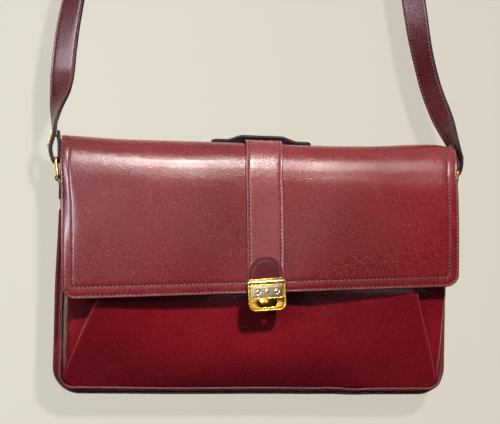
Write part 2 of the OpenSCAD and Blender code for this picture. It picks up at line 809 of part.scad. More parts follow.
module ring_tab(side) {
    in_frame() color(burgundy) side_of(side) difference() {
        intersection() {
            translate([0, -ring_y + tab_w / 2, 0]) rotate([90, 0, 0]) linear_extrude(tab_w) difference() {
                union() {
                    translate([tab_in, rivet_z - tab_w]) square([tab_out - tab_in, tab_w + neck_low]);
                    hull() {
                        translate([tab_in, rivet_z + neck_low - 1]) square([tab_out - tab_in, 1]);
                        translate([ring_low_x, ring_low_z]) circle(tab_eye_r + tab_layer);
                    }
                }
                translate([ring_low_x, ring_low_z]) circle(tab_eye_r);
            }
            translate([tab_in - 1, -ring_y, 0]) rotate([90, 0, 90]) linear_extrude(tab_w) {
                translate([0, rivet_z]) circle(tab_w / 2);
                translate([-tab_w / 2, rivet_z]) square([tab_w, 2 * tab_w]);
            }
        }
        translate([tab_in - 1, -ring_y, rivet_z]) rotate([0, 90, 0])
            cylinder(r = rivet_r + rivet_clear, h = tab_w);
    }
}

module ring_tab_left() { ring_tab(-1); }
module ring_tab_right() { ring_tab(1); }

back_panel();
back_piping();
edge_strip();
front_piping();
front_panel();
gusset_left();
gusset_right();
side_top_left();
side_top_right();
mouth_binding();
back_lining();
divider();
tab_mount_left();
tab_mount_right();
tab_rivet_left();
tab_rivet_right();
lock_base();
lock_base_washer();
base_rivets();
flap();
flap_lining();
flap_band();
lock_tab();
lock_plate();
lock_roll();
lock_inset();
lock_rivets();
lock_back_plate();
top_handle();
handle_rivets();
handle_washers();
turn_knob();
knob_shaft();
shaft_clip();
strap();
strap_plate_left();
strap_plate_right();
strap_rivets_left();
strap_rivets_right();
ring_left();
ring_right();
ring_tab_left();
ring_tab_right();
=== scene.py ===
"""Burgundy leather shoulder bag hanging by its strap in front of a pale wall.

Lengths are in the bag's own millimetres until bag() turns them into the CAD frame: x to the right,
y to the back with the bag's back face at 0, z up from its lowest point. "Depth" is -y. Leather sheets
are drawn flat, as x across, s along and h above the outer face, and then placed by a function.
"""
import bpy, bmesh, math
import numpy as np
from mathutils import Matrix, Vector


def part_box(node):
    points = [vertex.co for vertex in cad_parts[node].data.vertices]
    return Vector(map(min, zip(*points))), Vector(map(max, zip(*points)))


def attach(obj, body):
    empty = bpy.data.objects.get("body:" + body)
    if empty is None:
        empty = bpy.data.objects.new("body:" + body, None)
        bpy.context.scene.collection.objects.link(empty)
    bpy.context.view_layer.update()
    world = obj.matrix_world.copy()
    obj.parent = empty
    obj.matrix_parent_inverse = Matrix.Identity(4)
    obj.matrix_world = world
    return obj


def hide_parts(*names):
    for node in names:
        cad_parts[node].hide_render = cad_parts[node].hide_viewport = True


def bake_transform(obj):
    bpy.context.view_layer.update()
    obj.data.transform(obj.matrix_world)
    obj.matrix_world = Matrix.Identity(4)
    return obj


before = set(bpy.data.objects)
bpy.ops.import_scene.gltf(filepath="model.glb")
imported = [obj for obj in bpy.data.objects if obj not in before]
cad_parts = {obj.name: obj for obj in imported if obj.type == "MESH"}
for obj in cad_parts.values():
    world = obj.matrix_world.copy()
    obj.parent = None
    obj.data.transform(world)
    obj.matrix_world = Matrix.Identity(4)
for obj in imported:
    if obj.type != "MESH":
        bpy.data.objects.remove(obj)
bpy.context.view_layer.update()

low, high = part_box("back_piping")
ORIGIN = np.array([(low.x + high.x) / 2, high.y, low.z])


def bag(points):
    """Bag millimetres to metres in the CAD frame."""
    return ORIGIN + np.asarray(points, float) / 1000


def span(node):
    """Low and high corner of a CAD node in bag millimetres, to a tenth."""
    return [np.round((np.array(corner) - ORIGIN) * 1000, 1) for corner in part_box(node)]


def smooth(t):
    t = np.clip(t, 0, 1)
    return t * t * (3 - 2 * t)


def mix(a, b, t):
    return a + (b - a) * t


def bell(v, middle, width):
    return np.exp(-(((v - middle) / width) ** 2))


def measured(line):
    """How far along the line each point lies, and the line's unit direction there."""
    line = np.asarray(line, float)
    s = np.concatenate([[0], np.cumsum(np.linalg.norm(np.diff(line, axis=0), axis=1))])
    way = np.gradient(line, axis=0)
    return s, way / np.linalg.norm(way, axis=1, keepdims=True)


def arc(x, y, r, start, end, count):
    """Points on a circle about (x, y), from one angle to another."""
    return [(x + r * math.cos(a), y + r * math.sin(a)) for a in np.radians(np.linspace(start, end, count))]


def add_object(name, data):
    obj = bpy.data.objects.new(name, data)
    bpy.context.scene.collection.objects.link(obj)
    return obj


# ---- Camera ----

def look(position, target, roll, lens):
    """The photo's camera."""
    data = bpy.data.cameras.new("camera")
    cam = add_object("camera", data)
    bpy.context.scene.camera = cam
    data.sensor_width, data.lens = 36, lens
    data.clip_start, data.clip_end = 0.05, 20
    forward = (Vector(target) - Vector(position)).normalized()
    right = forward.cross(Vector((0, 0, 1))).normalized()
    up = right.cross(forward)
    right, up = (math.cos(roll) * right + math.sin(roll) * up,
                 -math.sin(roll) * right + math.cos(roll) * up)
    cam.matrix_world = Matrix.Translation(position) @ Matrix((right, up, -forward)).transposed().to_4x4()


EYE, AIM = (-200.9, -1186.7, 162.1), (-11.75, -30, 181.28)
look(bag(EYE), bag(AIM), roll=0.0241, lens=86.4)
bpy.context.scene.view_settings.view_transform = "Standard"


# ---- Materials ----

def srgb(*colour):
    """A colour written as 0 to 255, for a shader's socket."""
    return tuple(((c / 255 + 0.055) / 1.055) ** 2.4 if c > 10 else c / 255 / 12.92 for c in colour) + (1.0,)


class Nodes:
    """Adds and links the nodes of a new material or world."""

    def __init__(self, name, kind=bpy.data.materials):
        self.owner = kind.new(name)
        self.owner.use_nodes = True
        self.tree = self.owner.node_tree
        self.where = self.add("ShaderNodeTexCoord").outputs["Object"]

    def add(self, kind, sockets=(), **values):
        """A new node. sockets holds (input, value or output to link from)."""
        node = self.tree.nodes.new(kind)
        for key, value in values.items():
            setattr(node, key, value)
        for key, value in sockets:
            self.feed(node.inputs[key], value)
        return node

    def feed(self, socket, value):
        if isinstance(value, (int, float, tuple)):
            socket.default_value = value
        elif value is not None:
            self.tree.links.new(value, socket)

    def stretched(self, scale, turn=(0, 0, 0)):
        sockets = ("Scale", scale), ("Rotation", turn), ("Vector", self.where)
        return self.add("ShaderNodeMapping", sockets).outputs["Vector"]

    def noise(self, scale, detail=3.0, rough=0.55, where=None):
        where = where or self.where
        sockets = ("Scale", scale), ("Detail", detail), ("Roughness", rough), ("Vector", where)
        return self.add("ShaderNodeTexNoise", sockets).outputs["Fac"]

    def cells(self, scale):
        sockets = ("Scale", scale), ("Vector", self.where)
        return self.add("ShaderNodeTexVoronoi", sockets, feature="SMOOTH_F1").outputs["Distance"]

    def fit(self, value, a, b, c, d, curve="LINEAR"):
        """The value's range a to b, moved to c to d."""
        sockets = ("Value", value), ("From Min", a), ("From Max", b), ("To Min", c), ("To Max", d)
        return self.add("ShaderNodeMapRange", sockets, interpolation_type=curve).outputs["Result"]

    def math(self, operation, a, b):
        return self.add("ShaderNodeMath", ((0, a), (1, b)), operation=operation).outputs[0]

    def blend(self, factor, a, b):
        return self.add("ShaderNodeMix", ((0, factor), (6, a), (7, b)), data_type="RGBA").outputs[2]

    def both(self, factor, a, b):
        """One shader blended into another."""
        return self.add("ShaderNodeMixShader", ((0, factor), (1, a), (2, b))).outputs[0]

    def bump(self, height, strength, distance, under=None):
        sockets = ("Strength", strength), ("Distance", distance), ("Height", height), ("Normal", under)
        return self.add("ShaderNodeBump", sockets).outputs["Normal"]

    def set(self, **values):
        for key, value in values.items():
            self.feed(self.tree.nodes["Principled BSDF"].inputs[key.replace("_", " ")], value)
        return self.owner


def leather(name, base, deep, worn_and_sheen, rough=0.23, grain=0.5, cell=820, scratches=1.0, coat=0.15, shine=0.5):
    """Polished leather: clouds and speckles of colour, pale specks of painted sparkle, rubbed edges, thin
    scratches and a pebbled grain.
    """
    n = Nodes(name)
    cloud = n.fit(n.noise(7, 3), 0.35, 0.68, 0, 1)
    mottle = n.fit(n.noise(85, 4, 0.6), 0.3, 0.7, 0, 1)
    colour = n.blend(cloud, base, deep)
    colour = n.blend(n.math("MULTIPLY", mottle, 0.22), colour, deep)
    # Pale specks of the grain are painted highlight, standing in for its sparkle; the dark specks are the
    # grain's own tone
    speckle_and_sparkle = n.noise(760, 2, 0.7)
    colour = n.blend(n.fit(speckle_and_sparkle, 0.50, 0.68, 0, 0.55), colour, worn_and_sheen)
    colour = n.blend(n.fit(speckle_and_sparkle, 0.34, 0.47, 0.5, 0), colour, deep)
    # Rubbed edges, from an attribute of the mesh; along the front's folds the same attribute paints a
    # highlight
    wear_and_sheen = n.add("ShaderNodeAttribute", attribute_name="wear_and_sheen").outputs["Fac"]
    edge = n.math("MULTIPLY", wear_and_sheen, n.fit(n.noise(60, 4), 0.3, 0.65, 0.25, 1))
    colour = n.blend(n.math("MULTIPLY", edge, 0.55), colour, worn_and_sheen)
    # Fine scratches in two directions
    marks = None
    for turn, scale in (((0, 0.9, 0), (380, 60, 16)), ((0, -0.35, 0), (460, 60, 24))):
        line = n.noise(1.0, 2, 0.5, n.stretched(scale, turn))
        patch = n.fit(n.noise(9, 2), 0.60, 0.68, 0, 1)
        line = n.math("MULTIPLY", n.fit(line, 0.66, 0.72, 0, 1), patch)
        marks = line if marks is None else n.math("MAXIMUM", marks, line)
    marks = n.math("MULTIPLY", marks, scratches)
    colour = n.blend(n.math("MULTIPLY", marks, 0.45), colour, worn_and_sheen)
    roughness = n.math("ADD", n.fit(n.noise(30, 4), 0.3, 0.7, rough - 0.06, rough + 0.07),
                       n.math("MULTIPLY", marks, 0.06))
    skin = n.bump(n.cells(cell), grain * 0.5, 0.0004)
    skin = n.bump(n.noise(cell * 1.1, 3, 0.7), grain, 0.00028, skin)
    skin = n.bump(n.noise(130, 3), 0.14, 0.0012, skin)
    return n.set(Base_Color=colour, Roughness=roughness, Normal=skin, Coat_Weight=coat,
                 Coat_Roughness=0.15, IOR=1.5, Specular_IOR_Level=shine)


def painted_edge(name, base):
    """The dark paint on the leather's cut edges."""
    n = Nodes(name)
    colour = n.blend(n.fit(n.noise(120, 4), 0.35, 0.7, 0, 0.7), base, srgb(48, 20, 26))
    return n.set(Base_Color=colour, Roughness=n.fit(n.noise(90, 3), 0.3, 0.7, 0.45, 0.62),
                 Normal=n.bump(n.noise(700, 3), 0.3, 0.0003), Specular_IOR_Level=0.3)


def thread(name, base):
    """Matt twisted thread."""
    n = Nodes(name)
    colour = n.blend(n.fit(n.noise(240, 3), 0.3, 0.7, 0, 0.6), base, srgb(96, 56, 54))
    return n.set(Base_Color=colour, Roughness=0.72, Normal=n.bump(n.noise(3200, 2), 0.5, 0.0002),
                 Specular_IOR_Level=0.2)


def metal(name, base, tarnish, rough):
    """Lightly brushed metal with spots of tarnish and small dents."""
    n = Nodes(name)
    spots = n.fit(n.noise(160, 4, 0.6), 0.56, 0.78, 0, 0.6)
    colour = n.blend(spots, base, tarnish)
    lines = n.noise(1.0, 3, 0.6, n.stretched((300, 1500, 1500)))
    roughness = n.math("ADD", n.fit(lines, 0.3, 0.7, rough - 0.05, rough + 0.07),
                       n.math("MULTIPLY", spots, 0.18))
    dents = n.bump(n.noise(300, 2), 0.06, 0.0003)
    return n.set(Base_Color=colour, Metallic=1.0, Roughness=roughness,
                 Normal=n.bump(lines, 0.05, 0.0002, dents))


def suede(name, base, deep):
    """Cloudy suede with a short nap."""
    n = Nodes(name)
    colour = n.blend(n.fit(n.noise(40, 5, 0.65), 0.3, 0.7, 0, 1), base, deep)
    nap = n.bump(n.noise(2600, 3, 0.7), 0.5, 0.0003)
    return n.set(Base_Color=colour, Roughness=0.86, Normal=n.bump(n.noise(180, 3), 0.15, 0.001, nap),
                 Sheen_Weight=0.35, Sheen_Roughness=0.5)


shell_leather = leather("shell_leather", srgb(124, 20, 30), srgb(92, 12, 20), srgb(168, 66, 66))
# A brighter copy of the shell's leather: painted light standing in for the light the front panel catches.
# The back and the edge strips take it too
brightened_panel_leather = leather("brightened_panel_leather", srgb(137, 18, 33), srgb(110, 11, 23), srgb(160, 44, 52))
# Pale leather of the cords on the front's folds: painted highlight along the creases
fold_highlight_leather = leather("fold_highlight_leather", srgb(168, 74, 78), srgb(140, 44, 50), srgb(190, 120, 118),
                       rough=0.4, scratches=0.2, coat=0.0, shine=0.4)
# A lighter copy of the piping's leather, so that the back piping shows bright in its shade: painted light
lit_back_piping_leather = leather("lit_back_piping_leather", srgb(168, 44, 54), srgb(120, 26, 34),
                              srgb(190, 96, 98), rough=0.36, scratches=0.2, coat=0.0)
strap_leather = leather("strap_leather", srgb(100, 24, 32), srgb(66, 12, 20), srgb(150, 78, 80),
                        rough=0.32, cell=620, scratches=0.5)
tab_leather = leather("tab_leather", srgb(92, 14, 22), srgb(76, 8, 14), srgb(130, 46, 48),
                      rough=0.4, scratches=0.3, coat=0.0, shine=0.3)
band_leather = leather("band_leather", srgb(134, 34, 40), srgb(108, 18, 26), srgb(176, 84, 84),
                       rough=0.28, grain=0.6, scratches=0.6, coat=0.3, shine=0.7)
piping_leather = leather("piping_leather", srgb(112, 18, 26), srgb(70, 10, 18), srgb(150, 66, 66),
                         rough=0.42, cell=1100, coat=0.0)
dark_edge = painted_edge("dark_edge", srgb(22, 14, 20))
thread_taupe = thread("thread_taupe", srgb(150, 104, 96))
# Dark discs that paint the shade inside each stitch hole
hole_shade = painted_edge("hole_shade", srgb(20, 8, 10))
lining_suede = suede("lining_suede", srgb(110, 48, 46), srgb(84, 34, 34))
gold = metal("gold", srgb(236, 188, 84), srgb(168, 112, 40), 0.2)
pale_gold = metal("pale_gold", srgb(240, 214, 140), srgb(190, 150, 84), 0.22)
silver = metal("silver", srgb(186, 170, 142), srgb(132, 110, 82), 0.36)
# Dark brass that paints the shade in the lock's slot, on the slot's wall and on the lock's base seen
# through it
slot_shade_brass = metal("slot_shade_brass", srgb(92, 60, 26), srgb(44, 26, 14), 0.34)

# Face, edge and back of a sheet
STRAP_FACES = [strap_leather, dark_edge, strap_leather]
PANEL_FACES = [brightened_panel_leather, dark_edge, lining_suede]
LINING_FACES = [lining_suede, dark_edge, lining_suede]


# ---- Mesh builders ----

def build(name, points, faces, materials, which=None, body="bag", replaces=(), wear_and_sheen=None, merge=0.004,
          flap_blend=False):
    """A mesh object from points in bag millimetres. It rides on a body, or, for pieces of the flap, keeps
    its placing baked in and rides on none.
    """
    mesh = bpy.data.meshes.new(name)
    mesh.from_pydata(bag(points).tolist(), [], [list(map(int, f)) for f in faces])
    for m in materials:
        mesh.materials.append(m)
    if which is not None:
        mesh.polygons.foreach_set("material_index", np.asarray(which, np.int32))
    if wear_and_sheen is not None:
        mesh.attributes.new("wear_and_sheen", "FLOAT", "POINT").data.foreach_set(
            "value", np.asarray(wear_and_sheen, np.float32))
    work = bmesh.new()
    work.from_mesh(mesh)
    if merge:
        bmesh.ops.remove_doubles(work, verts=work.verts, dist=merge / 1000)
    bmesh.ops.dissolve_degenerate(work, dist=1e-7, edges=work.edges)
    bmesh.ops.recalc_face_normals(work, faces=work.faces)
    work.to_mesh(mesh)
    work.free()
    mesh.polygons.foreach_set("use_smooth", [True] * len(mesh.polygons))
    mesh.update()
    obj = add_object(name, mesh)
    if flap_blend:
        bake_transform(obj)
    else:
        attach(obj, body)
    if replaces:
        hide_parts(*replaces)
    return obj


def outline(half, length, r_top, r_bottom, d, xs, ss, arc=8):
    """Closed line at a distance d inside a rectangle with round corners."""
    def corner(x_sign, s_sign, r, start):
        c, rad = max(r, d), max(r - d, 0)
        a = np.radians(np.linspace(start, start + 90, arc + 1))
        x = x_sign * (half - c) + rad * np.cos(a)
        s = (length - c if s_sign > 0 else c) - rad * np.sin(a)
        return np.stack([x, s], 1)
    left = np.stack([np.full(len(ss), -(half - d)), ss], 1)
    bottom = np.stack([xs, np.full(len(xs), length - d)], 1)
    top = np.stack([xs[::-1], np.full(len(xs), d)], 1)
    right = np.stack([np.full(len(ss), half - d), ss[::-1]], 1)
    return np.concatenate([left, corner(-1, 1, r_bottom, 180), bottom, corner(1, 1, r_bottom, 270),
                           right, corner(1, -1, r_top, 0), top, corner(-1, -1, r_top, 90)])


def sheet(name, half, length, r_top, r_bottom, place, t, materials, rows=(), dx=3.0, ds=3.0,
          groove=0.28, ink=0.0, **kind):
    """A leather sheet with round corners, rounded painted edges and a groove under each row of stitches.

    place(x, s, h) places a point of the flat sheet. rows holds the distances of the stitch rows from the
    edge, and ink how far the edge's paint reaches onto the face.
    """
    D = min(half, length / 2, max([r_top, r_bottom, 3.5] + [r + 2.5 for r in rows]))
    e = min(t / 2, 0.9)
    wanted = {D, e * 1.5, 1.8, 2.6, 4.2, 6.0, 8.0, 12.0}
    for r in rows:
        wanted |= {r + k for k in (-1.3, -0.7, -0.35, 0, 0.35, 0.7, 1.3)}
    outer, last = [], 1e9
    for d in sorted((d for d in wanted if e < d <= D), reverse=True):
        if last - d > 0.17:
            outer.append(d)
            last = d

    def lift(d):
        return -sum(groove * math.exp(-(((d - r) / 0.5) ** 2))
                    + groove * 0.7 * math.exp(-(((d - r) / 1.7) ** 2)) for r in rows)

    # The section from the flat middle over the edge to the back: distance inside, height, material
    section = [(d, lift(d), 1 if d < ink else 0) for d in outer]
    section += [(e * (1 - math.sin(a)), -e * (1 - math.cos(a)), 0 if a < 0.75 else 1)
                for a in np.radians([0, 22, 45, 68, 90])]
    section += [(e * (1 - math.sin(a)), -t + e * (1 - math.cos(a)), 1)
                for a in np.radians([90, 60, 30, 0])]
    section += [(d, -t, 2) for d in sorted({min(3.0, D), D}) if d > e]
    xs = np.linspace(-(half - D), half - D, max(2, int(2 * (half - D) / dx) + 1))
    ss = np.linspace(D, length - D, max(2, int((length - 2 * D) / ds) + 1))
    points, faces, which, wear_and_sheen = [], [], [], []
    for d, h, _ in section:
        ring = outline(half, length, r_top, r_bottom, d, xs, ss)
        points.append(np.column_stack([ring, np.full(len(ring), h)]))
        wear_and_sheen += [math.exp(-max(d - e, 0) / 1.1)] * len(ring)
    n = len(points[0])
    for k, ((_, h, index), (_, _, index_next)) in enumerate(zip(section, section[1:])):
        faces += faces_between(k * n, n)
        if index_next != 2:
            which += [max(index, index_next)] * n
        else:
            which += [2 if index == 2 or h <= -t + 1e-6 else 1] * n
    gx, gs = np.meshgrid(xs, ss)
    for h, index in ((section[0][1], 0), (-t, 2)):
        start = sum(len(p) for p in points)
        points.append(np.column_stack([gx.ravel(), gs.ravel(), np.full(gx.size, h)]))
        wear_and_sheen += [0.0] * gx.size
        c = len(xs)
        corners = [start + r * c + q for r in range(len(ss) - 1) for q in range(c - 1)]
        faces += [(a, a + 1, a + c + 1, a + c) for a in corners]
        which += [index] * len(corners)
    flat = np.concatenate(points)
    return build(name, place(*flat.T), faces, materials, which, wear_and_sheen=wear_and_sheen, **kind)


def thick_grid(name, outer, t, materials, flip=False, wear_and_sheen=None, **kind):
    """A closed sheet from a grid of points on its outer face, with its thickness behind them."""
    R, C = outer.shape[:2]
    down = np.gradient(outer, axis=0)
    along = np.gradient(outer, axis=1)
    normal = np.cross(along, down)
    normal /= np.maximum(np.linalg.norm(normal, axis=2, keepdims=True), 1e-9)
    inner = outer - normal * t * (-1 if flip else 1)
    points = np.concatenate([outer.reshape(-1, 3), inner.reshape(-1, 3)])
    back = R * C
    edge_material, back_material = (min(k, len(materials) - 1) for k in (1, 2))
    faces, which = [], []
    for r in range(R - 1):
        for a in range(r * C, r * C + C - 1):
            faces += [(k, k + 1, k + C + 1, k + C) for k in (a, back + a)]
            which += [0, back_material]
    rim = [(r * C + c, r * C + C + c) for r in range(R - 1) for c in (0, C - 1)]
    rim += [(r * C + c, r * C + c + 1) for c in range(C - 1) for r in (0, R - 1)]
    faces += [(a, b, back + b, back + a) for a, b in rim]
    which += [edge_material] * len(rim)
    marks = None if wear_and_sheen is None else np.concatenate([wear_and_sheen.ravel(), np.zeros(R * C)])
    return build(name, points, faces, materials, which, wear_and_sheen=marks, merge=0, **kind)


def circle(axis, side, sides):
    """Points of a unit circle about an axis, starting at one side."""
    a = np.linspace(0, 2 * math.pi, sides, endpoint=False)
    return np.outer(np.cos(a), side) + np.outer(np.sin(a), np.cross(axis, side))


def faces_between(start, n):
    """Faces between two rings of n points each, the first of them beginning at start."""
    return [(start + i, start + (i + 1) % n, start + n + (i + 1) % n, start + n + i) for i in range(n)]


def ring_mesh(name, rings, materials, **kind):
    """A closed mesh over rings of equally many points."""
    n = len(rings[0])
    faces = []
    for k in range(len(rings) - 1):
        faces += faces_between(k * n, n)
    faces.append(tuple(range(n)))
    faces.append(tuple(len(rings) * n - 1 - i for i in range(n)))
    return build(name, np.concatenate(rings), faces, materials, **kind)


def tube(name, path, radius, materials, sides=12, **kind):
    """A closed round cord along a path, with rounded ends."""
    path = np.asarray(path, float)
    step = measured(path)[1]
    side = np.cross(step[0], [0, 1, 0] if abs(step[0][1]) < 0.8 else [1, 0, 0])
    side /= np.linalg.norm(side)
    rings = []
    for p, d in zip(path, step):
        side = side - d * side.dot(d)
        side /= np.linalg.norm(side)
        rings.append(p + radius * circle(d, side, sides))
    ends = []
    for k, sign in ((0, -1), (len(path) - 1, 1)):
        ends.append([path[k] + (rings[k] - path[k]) * math.cos(b) + sign * step[k] * radius * math.sin(b)
                     for b in (0.5, 1.0, 1.35)])
    return ring_mesh(name, ends[0][::-1] + rings + ends[1], materials, merge=0, **kind)


def lathe(name, profile, centre, axis, materials, sides=32, **kind):
    """A turned piece. The profile holds (distance along the axis, radius)."""
    axis = np.asarray(axis, float) / np.linalg.norm(axis)
    side = np.cross(axis, [0, 0, 1] if abs(axis[2]) < 0.8 else [1, 0, 0])
    side /= np.linalg.norm(side)
    rings = [np.asarray(centre) + axis * u + r * circle(axis, side, sides) for u, r in profile]
    return ring_mesh(name, rings, materials, **kind)


def catmull(points, parts):
    """A smooth line through the points."""
    p = np.asarray(points, float)
    p = np.vstack([2 * p[0] - p[1], p, 2 * p[-1] - p[-2]])
    out = []
    for i in range(1, len(p) - 2):
        for k in range(parts):
            t = k / parts
            out.append(0.5 * (2 * p[i] + (p[i + 1] - p[i - 1]) * t
                              + (2 * p[i - 1] - 5 * p[i] + 4 * p[i + 1] - p[i + 2]) * t * t
                              + (3 * p[i] - p[i - 1] - 3 * p[i + 1] + p[i + 2]) * t ** 3))
    return np.array(out + [p[-2]])


def evenly(line, step):
    """The same line with evenly spaced points."""
    line = np.asarray(line, float)
    s = measured(line)[0]
    at = np.linspace(0, s[-1], max(2, int(round(s[-1] / step)) + 1))
    return np.stack([np.interp(at, s, line[:, k]) for k in range(line.shape[1])], 1)


def stitches(name, line, place, lift=0.0, under=False, pitch=4.0, length=2.75, width=0.95, height=0.5,
             slant=11, **kind):
    """A row of thread stitches with a dark disc of painted shade for the hole between each two, along a
    line of (x, s).
    """
    spots = evenly(line, pitch)
    way = measured(spots)[1]
    mid, way = (spots[:-1] + spots[1:]) / 2, (way[:-1] + way[1:]) / 2
    cross = np.stack([-way[:, 1], way[:, 0]], 1)
    tilt = math.radians(slant)
    lean = way * math.cos(tilt) + cross * math.sin(tilt)
    stand = cross * math.cos(tilt) - way * math.sin(tilt)
    rings, around = [(-0.5, 0.3), (-0.36, 0.85), (0, 1.0), (0.36, 0.85), (0.5, 0.3)], 6
    local = [(a * length, r * width / 2 * math.cos(b), max(r * height * math.sin(b), -0.12) + 0.06)
             for a, r in rings for b in np.linspace(0, 2 * math.pi, around, endpoint=False)]
    local = np.array(local)
    V = len(local)
    x = (mid[:, None, :] + local[None, :, 0, None] * lean[:, None, :]
         + local[None, :, 1, None] * stand[:, None, :])
    h = np.broadcast_to(local[None, :, 2], x.shape[:2])
    # Each hole is a dark disc: painted shade
    hole = np.array([(0, 0)] + arc(0, 0, 0.85, 0, 300, 6))
    hx = spots[:, None, :] + hole[None, :, :]
    hh = np.broadcast_to(np.array([0.12] + [0.05] * 6), hx.shape[:2])
    sign = -1 if under else 1
    flat = np.concatenate([x.reshape(-1, 2), hx.reshape(-1, 2)])
    heights = lift + sign * np.concatenate([h.ravel(), hh.ravel()])
    faces = []
    for start in range(0, len(mid) * V, V):
        for r in range(len(rings) - 1):
            faces += faces_between(start + r * around, around)
        for r in (0, len(rings) - 1):
            faces.append(tuple(range(start + r * around, start + (r + 1) * around)))
    which = [0] * len(faces)
    for k in range(len(spots)):
        middle = len(mid) * V + k * len(hole)
        faces += [(middle, middle + 1 + i, middle + 1 + (i + 1) % 6) for i in range(6)]
    which += [1] * (len(faces) - len(which))
    return build(name, place(flat[:, 0], flat[:, 1], heights), faces, [thread_taupe, hole_shade], which,
                 merge=0, **kind)


def u_line(half, length, r, d, start):
    """Left side down, bottom and right side up of a sheet's outline, at a distance d inside it."""
    rad, c = max(r - d, 0.01), max(r, d)
    a = np.radians(np.linspace(180, 270, 9))
    left = [(-(half - d), start)]
    corner = [(-(half - c) + rad * math.cos(b), length - c - rad * math.sin(b)) for b in a]
    other = [(-x, s) for x, s in corner[::-1]]
    return np.array(left + corner + other + [(half - d, start)])


# ---- The flap ----

flap_low, flap_high = span("flap")
BAG_H, FLAP_BOTTOM, DEPTH = flap_high[2], flap_low[2], -flap_low[1]
FLAP_HALF = flap_high[0] + 1
FLAP_T = 2.4
BEND_R, BEND_Y = 32.0, 28.0
# Depths between which the leather bends when the flap opens
LAP_DEPTH, LAP_LOW = -1.7, 212.0


def crest_drop(depth):
    """How far the arched crest lies below its top."""
    return 5.8 * ((BEND_Y - depth) / 25.8) ** 2


def flap_profile():
    """Outer face of the flap as (depth, z): its lap on the back, crest, bend and front."""
    lap = [(LAP_DEPTH, z) for z in np.linspace(LAP_LOW, 234, 12)]
    turn = catmull([(LAP_DEPTH, 234), (LAP_DEPTH + 0.35, 238.5), (0.2, 242.2), (3.2, 244.7),
                    (7.0, 246.2)], 8)[1:]
    crest = [(depth, BAG_H - crest_drop(depth)) for depth in np.linspace(8, BEND_Y, 16)]
    # The bend eases slowly into the flat front, as a superellipse
    tall, power = BEND_R * 1.85, 2.6
    bend = [(BEND_Y + BEND_R * math.cos(a) ** (2 / power), BAG_H - tall * (1 - math.sin(a) ** (2 / power)))
            for a in np.radians(np.linspace(88, 0.5, 44))]
    front = [(DEPTH, z) for z in np.linspace(BAG_H - tall, FLAP_BOTTOM, 46)[1:]]
    line = evenly(np.array(lap + list(map(tuple, turn)) + crest + bend + front), 0.7)
    for _ in range(6):
        line[1:-1] = (line[:-2] + 2 * line[1:-1] + line[2:]) / 4
    return line


PROFILE = flap_profile()
P_S, P_T = measured(PROFILE)
P_N = np.stack([-P_T[:, 1], P_T[:, 0]], 1)
FLAP_L = P_S[-1]
# Where the crest and the bend end, measured along the profile
S_CREST = np.interp(BEND_Y, PROFILE[P_S > 20][:60, 0], P_S[P_S > 20][:60])
S_BEND = FLAP_L - (BAG_H - BEND_R - FLAP_BOTTOM)


def on_profile(s, h):
    """Depth and z at s along the profile and h above it; past the end it goes straight down."""
    s0 = np.clip(s, 0, FLAP_L)
    d, z, nd, nz = (np.interp(s0, P_S, v) for v in (*PROFILE.T, *P_N.T))
    k = np.hypot(nd, nz)
    over = s - s0
    return d + h * nd / k, z + h * nz / k - over


# Height of the crest across the flap, and the slope of the flap's lower edge
CREST = np.array([(-200, 0.4), (-180, -0.6), (-135, -2.2), (-80, -1.8), (0, -1.6), (70, -1.6), (118, 0.0),
                  (150, 2.6), (172, 3.6), (186, 2.2), (200, -0.5)])
CREST_FINE = catmull(CREST, 8)
SKEW = 0.0475


def crest_height(x):
    """How far the crest lies above or below its even line."""
    return np.interp(x, *CREST_FINE.T)


def flap_at(x, s, h):
    """Places a point of the flap: x across, s along from the lap's lower end, h above its outer face."""
    over = smooth((s - S_CREST) / (S_BEND - S_CREST))
    low_part = np.clip((s - S_BEND) / (FLAP_L - S_BEND), 0, 1.05)
    # The flap hangs a little aslant, and its left edge curls back below the bend
    fold = -184 + 14 * np.clip((s - S_BEND) / 63, -0.3, 1)
    curl = smooth((s - S_CREST - 8) / 26) * (1 - smooth((s - S_BEND - 12) / 72))
    u = np.clip((fold - x) / (fold + 195), 0, 1.1)
    h = h - curl * 0.36 * (fold + 195) * u * u
    x = x - 2.2 * curl * (1 - u) * smooth((-146 - x) / 34)
    bulge = 2.4 * np.sin(math.pi * np.clip(low_part * 0.94 + 0.03, 0, 1))
    bulge = bulge * (1 - 0.5 * (x / FLAP_HALF) ** 2)
    puff = bell(x, -95, 55) + bell(x, 95, 55) - 0.4
    bulge = bulge + 1.3 * over * (1 - smooth((s - S_BEND - 10) / 80)) * puff
    bulge = bulge + 0.55 * np.sin(x / 43 + 0.7) * np.sin(s / 29) * smooth((s - 60) / 40)
    bulge = bulge + 0.25 * np.sin(x / 19 + s / 37 + 1.0) * smooth((s - 50) / 40)
    # The middle third is held by the band, and the corners stand off a little
    d, z = on_profile(s, h + bulge * (1 - 0.75 * bell(x, 0, 34)))
    z = z + crest_height(x) * bell(s, S_CREST + 4, 38)
    z = z + SKEW * x * low_part
    x = x * (1 - 0.0065 * over - 0.002 * low_part) - 1.0 - 2.7 * over + 4.1 * low_part ** 0.8
    return np.stack([x, -d, z], 1)


FLAP_ROWS, FLAP_CORNER = (2.6, 10.4), 13
sheet("flap_shell", FLAP_HALF, FLAP_L, 5, FLAP_CORNER, flap_at, FLAP_T,
      [shell_leather, dark_edge, lining_suede], rows=FLAP_ROWS, dx=2.6, ds=2.2, replaces=["flap"],
      flap_blend=True)
for k, row in enumerate(FLAP_ROWS):
    line = u_line(FLAP_HALF, FLAP_L, FLAP_CORNER, row, start=row + 1)
    stitches(f"flap_stitches_{k}", line, flap_at, lift=-0.3, flap_blend=True)
line = np.array([(-(FLAP_HALF - 5), 3.0), (FLAP_HALF - 5, 3.0)])
stitches("lap_stitches", line, flap_at, lift=-0.1, flap_blend=True)

UNDERLAY_FROM = S_CREST - 14


